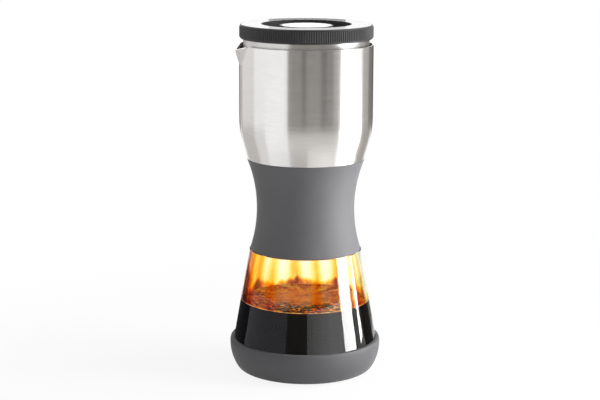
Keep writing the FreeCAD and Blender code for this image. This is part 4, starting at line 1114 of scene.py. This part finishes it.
@dataclass
class Studio:
    """Camera, lamps, cards, floor and background, in metres and degrees.

    The camera's tilt, pan and roll are in radians. The floor shows the object's shadow near it,
    and eases from shadow_white to plain white between shadow_from and shadow_to.
    """

    bearing: float = -14.0
    distance: float = 1.2328
    height: float = 0.3817
    tilt: float = 0.19871
    pan: float = -0.0035
    roll: float = 0.004444
    focal_pixels: float = 1620.7
    ambient: float = 0.46
    floor_reach: float = 6.0
    floor_gap: float = 0.0002
    mat_lift: float = 0.0005
    card_steps: int = 12
    shadow_from: float = 0.10
    shadow_to: float = 0.45
    shadow_white: float = 0.88
    paper: float = 0.86
    softboxes: tuple[Softbox, ...] = (
        Softbox("wide_lamp", 78.5, 0.8, 0.36, 0.0, 1.1, 10.5),
        Softbox("narrow_lamp", 104.0, 0.8, 0.12, 0.0, 1.1, 10.5),
    )
    cards: tuple[Card, ...] = (
        Card("wide_strip", 63.0, 85.5, "#ffffff", distance=0.42, high=0.125, strength=22.0,
             inside_glass=True),
        Card("narrow_strip", 96.5, 102.5, "#ffffff", distance=0.42, high=0.125, strength=22.0,
             inside_glass=True),
        Card("shell_strip", 64.5, 92.5, "#ffffff", distance=0.42, low=0.125, high=0.6,
             strength=2.4),
        Card("shell_left", -31.0, -7.0, "#827d79", high=0.5),
        Card("shell_streak", -7.0, 0.0, "#56524f", high=0.5),
        Card("shell_middle", 0.0, 24.5, "#86827e", high=0.5),
        Card("shell_dark", 24.5, 34.5, "#5e5a57", high=0.5),
        Card("shell_right", 34.5, 46.0, "#7c7976", high=0.5),
        Card("shell_edge", 46.0, 60.0, "#a4a19e", high=0.5),
        glass_card("glass_flag", -140.0, -96.0, "#3c3c40"),
        glass_card("glass_left", -96.0, -25.0, "#c0c0ca"),
        glass_card("glass_middle", -25.0, 3.0, "#747674"),
        glass_card("glass_near_right", 3.0, 12.0, "#ffffff", 1.3),
        glass_card("glass_mid_right", 12.0, 22.0, "#ffffff", 1.65),
        glass_card("glass_right", 22.0, 33.0, "#ffffff", 2.0),
        glass_card("glass_far_right", 33.0, 56.0, "#ffffff", 2.4),
        Card("glass_shade", -105.0, 50.0, "#161514", distance=0.1, low=0.066, high=0.1),
        glass_card("glass_dark", 97.0, 126.0, "#4c4a48"),
        Card("glass_backlight", 100.0, 260.0, "#ffffff", distance=0.2, high=0.09, strength=1.3,
             backlight=True),
        Card("right_grey", 110.0, 132.0, "#b2aeaa", high=0.34),
        Card("right_dim", 132.0, 156.0, "#7a7672", high=0.34),
        Card("right_dark", 156.0, 178.0, "#45423f", high=0.34),
        Card("left_pale", -138.0, -98.0, "#e9e5e4", high=0.34),
        Card("left_grey", -156.0, -138.0, "#bdb8b7", high=0.34),
        Card("left_dark", -179.0, -156.0, "#6c6866", high=0.34),
        Card("front_mat", -31.0, 58.0, "#d8d4d1", distance=0.74, near=0.11),
        Card("far_mat", -31.0, 58.0, "#807c78", distance=1.0, near=0.74),
        Card("left_far_mat", -150.0, -100.0, "#c4c0be", distance=1.0, near=0.27),
        Card("left_pale_mat", -100.0, -74.0, "#e2e0df", distance=1.0, near=0.27),
        Card("right_mat", 106.0, 150.0, "#aaa6a2", distance=1.0, near=0.2),
        Card("left_mat", -179.0, -110.0, "#303032", distance=0.27, near=0.09),
        Card("back_glow", 150.0, 210.0, "#ffffff", distance=1.3, low=0.35, high=1.2, strength=1.7),
        Card("back_gap", 177.3, 182.6, "#4c4c4c", distance=1.29, low=0.33, high=0.388),
    )

    def direction(self, bearing: float) -> Vector:
        """Level direction of a bearing.

        Args:
            bearing: Degrees from the camera's side, towards the camera's right.

        Returns:
            A unit vector.
        """
        turn = math.radians(self.bearing + bearing)
        return Vector((math.sin(turn), -math.cos(turn), 0))

    def place_camera(self) -> None:
        """Set the camera where the photograph was taken from."""
        data = bpy.data.cameras.new("photo_camera")
        data.sensor_width = SENSOR_WIDTH
        data.lens = self.focal_pixels * SENSOR_WIDTH / FRAME_PIXELS
        camera = bpy.data.objects.new("photo_camera", data)
        bpy.context.scene.collection.objects.link(camera)
        spot = self.direction(0.0) * self.distance
        camera.location = (spot.x, spot.y, self.height)
        camera.rotation_mode = "XYZ"
        ahead = math.radians(self.bearing) - self.pan
        tilted = math.pi / 2 - self.tilt
        camera.rotation_euler = (tilted, 0.0, ahead)
        camera.rotation_euler.rotate_axis("Z", self.roll)
        bpy.context.scene.camera = camera

    def add_softbox(self, box: Softbox) -> None:
        """Stand a lamp round the object.

        Args:
            box: The lamp.
        """
        data = bpy.data.lights.new(box.name, "AREA")
        data.shape = "RECTANGLE"
        data.size = box.width
        data.size_y = box.high - box.low
        data.energy = box.radiance * math.pi * data.size * data.size_y
        lamp = bpy.data.objects.new(box.name, data)
        bpy.context.scene.collection.objects.link(lamp)
        away = self.direction(box.bearing)
        lamp.location = away * box.distance + Vector((0, 0, (box.high + box.low) / 2))
        lamp.rotation_mode = "QUATERNION"
        lamp.rotation_quaternion = away.to_track_quat("Z", "Y")
        lamp.visible_camera = False
        lamp.visible_glossy = False
        lamp.visible_transmission = False

    def add_card(self, card: Card) -> None:
        """Stand a card round the object.

        Args:
            card: The card.
        """
        material, tree = blank_material(card.name + "_board")
        close_surface(tree, add_node(tree, "Emission", {
            "Color": linear(card.colour), "Strength": card.strength}))
        build = bmesh.new()
        pairs = []
        sweep = card.last_bearing - card.first_bearing
        for step in range(self.card_steps + 1):
            away = self.direction(card.first_bearing + sweep * step / self.card_steps)
            ends = [(card.distance, card.low), (card.distance, card.high)]
            if card.near:
                ends = [(card.near, self.mat_lift), (card.distance, self.mat_lift)]
            pairs.append([build.verts.new(away * reach + Vector((0, 0, height)))
                          for reach, height in ends])
        for (low, high), (next_low, next_high) in zip(pairs, pairs[1:]):
            build.faces.new((low, next_low, next_high, high))
        mesh = bpy.data.meshes.new(card.name)
        build.to_mesh(mesh)
        build.free()
        mesh.materials.append(material)
        board = bpy.data.objects.new(card.name, mesh)
        bpy.context.scene.collection.objects.link(board)
        board.visible_camera = False
        board.visible_shadow = False
        board.visible_diffuse = False
        board.visible_transmission = card.inside_glass or card.backlight
        board.visible_glossy = not card.backlight

    def add_floor(self) -> None:
        """Lay the white floor, which keeps the object's shadow near it."""
        material, tree = blank_material("white_floor")
        place = add_node(tree, "TexCoord").outputs["Object"]
        reach = add_node(tree, "VectorMath", {0: place}, operation="LENGTH")
        fade = add_node(tree, "MapRange", {
            "Value": reach.outputs["Value"], "From Min": self.shadow_from,
            "From Max": self.shadow_to, "To Min": self.shadow_white, "To Max": 1.0},
            interpolation_type="SMOOTHSTEP")
        glow = add_node(tree, "Math", {
            0: white_rays(tree), 1: fade.outputs["Result"]}, operation="MULTIPLY")
        paper = add_node(tree, "BsdfDiffuse", {"Color": (self.paper, self.paper, self.paper, 1.0)})
        light = add_node(tree, "Emission", {"Color": WHITE})
        mix = add_node(tree, "MixShader", {
            "Fac": glow.outputs["Value"], 1: paper.outputs[0], 2: light.outputs[0]})
        close_surface(tree, mix)
        half = self.floor_reach
        mesh = bpy.data.meshes.new("floor")
        mesh.from_pydata([(-half, -half, 0), (half, -half, 0), (half, half, 0), (-half, half, 0)],
                         [], [(0, 1, 2, 3)])
        mesh.materials.append(material)
        floor = bpy.data.objects.new("floor", mesh)
        floor.location.z = -self.floor_gap
        bpy.context.scene.collection.objects.link(floor)

    def light_world(self) -> None:
        """A white background, with a dimmer sky for the light that it gives."""
        world = bpy.data.worlds.new("studio")
        bpy.context.scene.world = world
        world.use_nodes = True
        tree = world.node_tree
        tree.nodes.clear()
        level = add_node(tree, "MapRange", {
            "Value": white_rays(tree), "To Min": self.ambient, "To Max": 1.0})
        sky = add_node(tree, "Background", {
            "Color": WHITE, "Strength": level.outputs["Result"]})
        add_node(tree, "OutputWorld", {"Surface": sky.outputs["Background"]})

    def build(self) -> None:
        """Set up the studio."""
        bpy.context.scene.view_settings.view_transform = "Standard"
        self.place_camera()
        for box in self.softboxes:
            self.add_softbox(box)
        for card in self.cards:
            self.add_card(card)
        self.add_floor()
        self.light_world()
        LOG.info("studio: %d lamps, %d cards", len(self.softboxes), len(self.cards))


def main() -> None:
    """Dress the frame, make the glass, the boot and the coffee, and set up the studio."""
    logging.basicConfig(level=logging.INFO, format="%(name)s: %(message)s")
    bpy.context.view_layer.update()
    Vessel().build()
    BrewChamber().build()
    Lid().build()
    carafe = Carafe()
    carafe.build()
    Boot().build(carafe)
    Coffee(carafe).build()
    Studio().build()


if __name__ == "__main__":
    main()
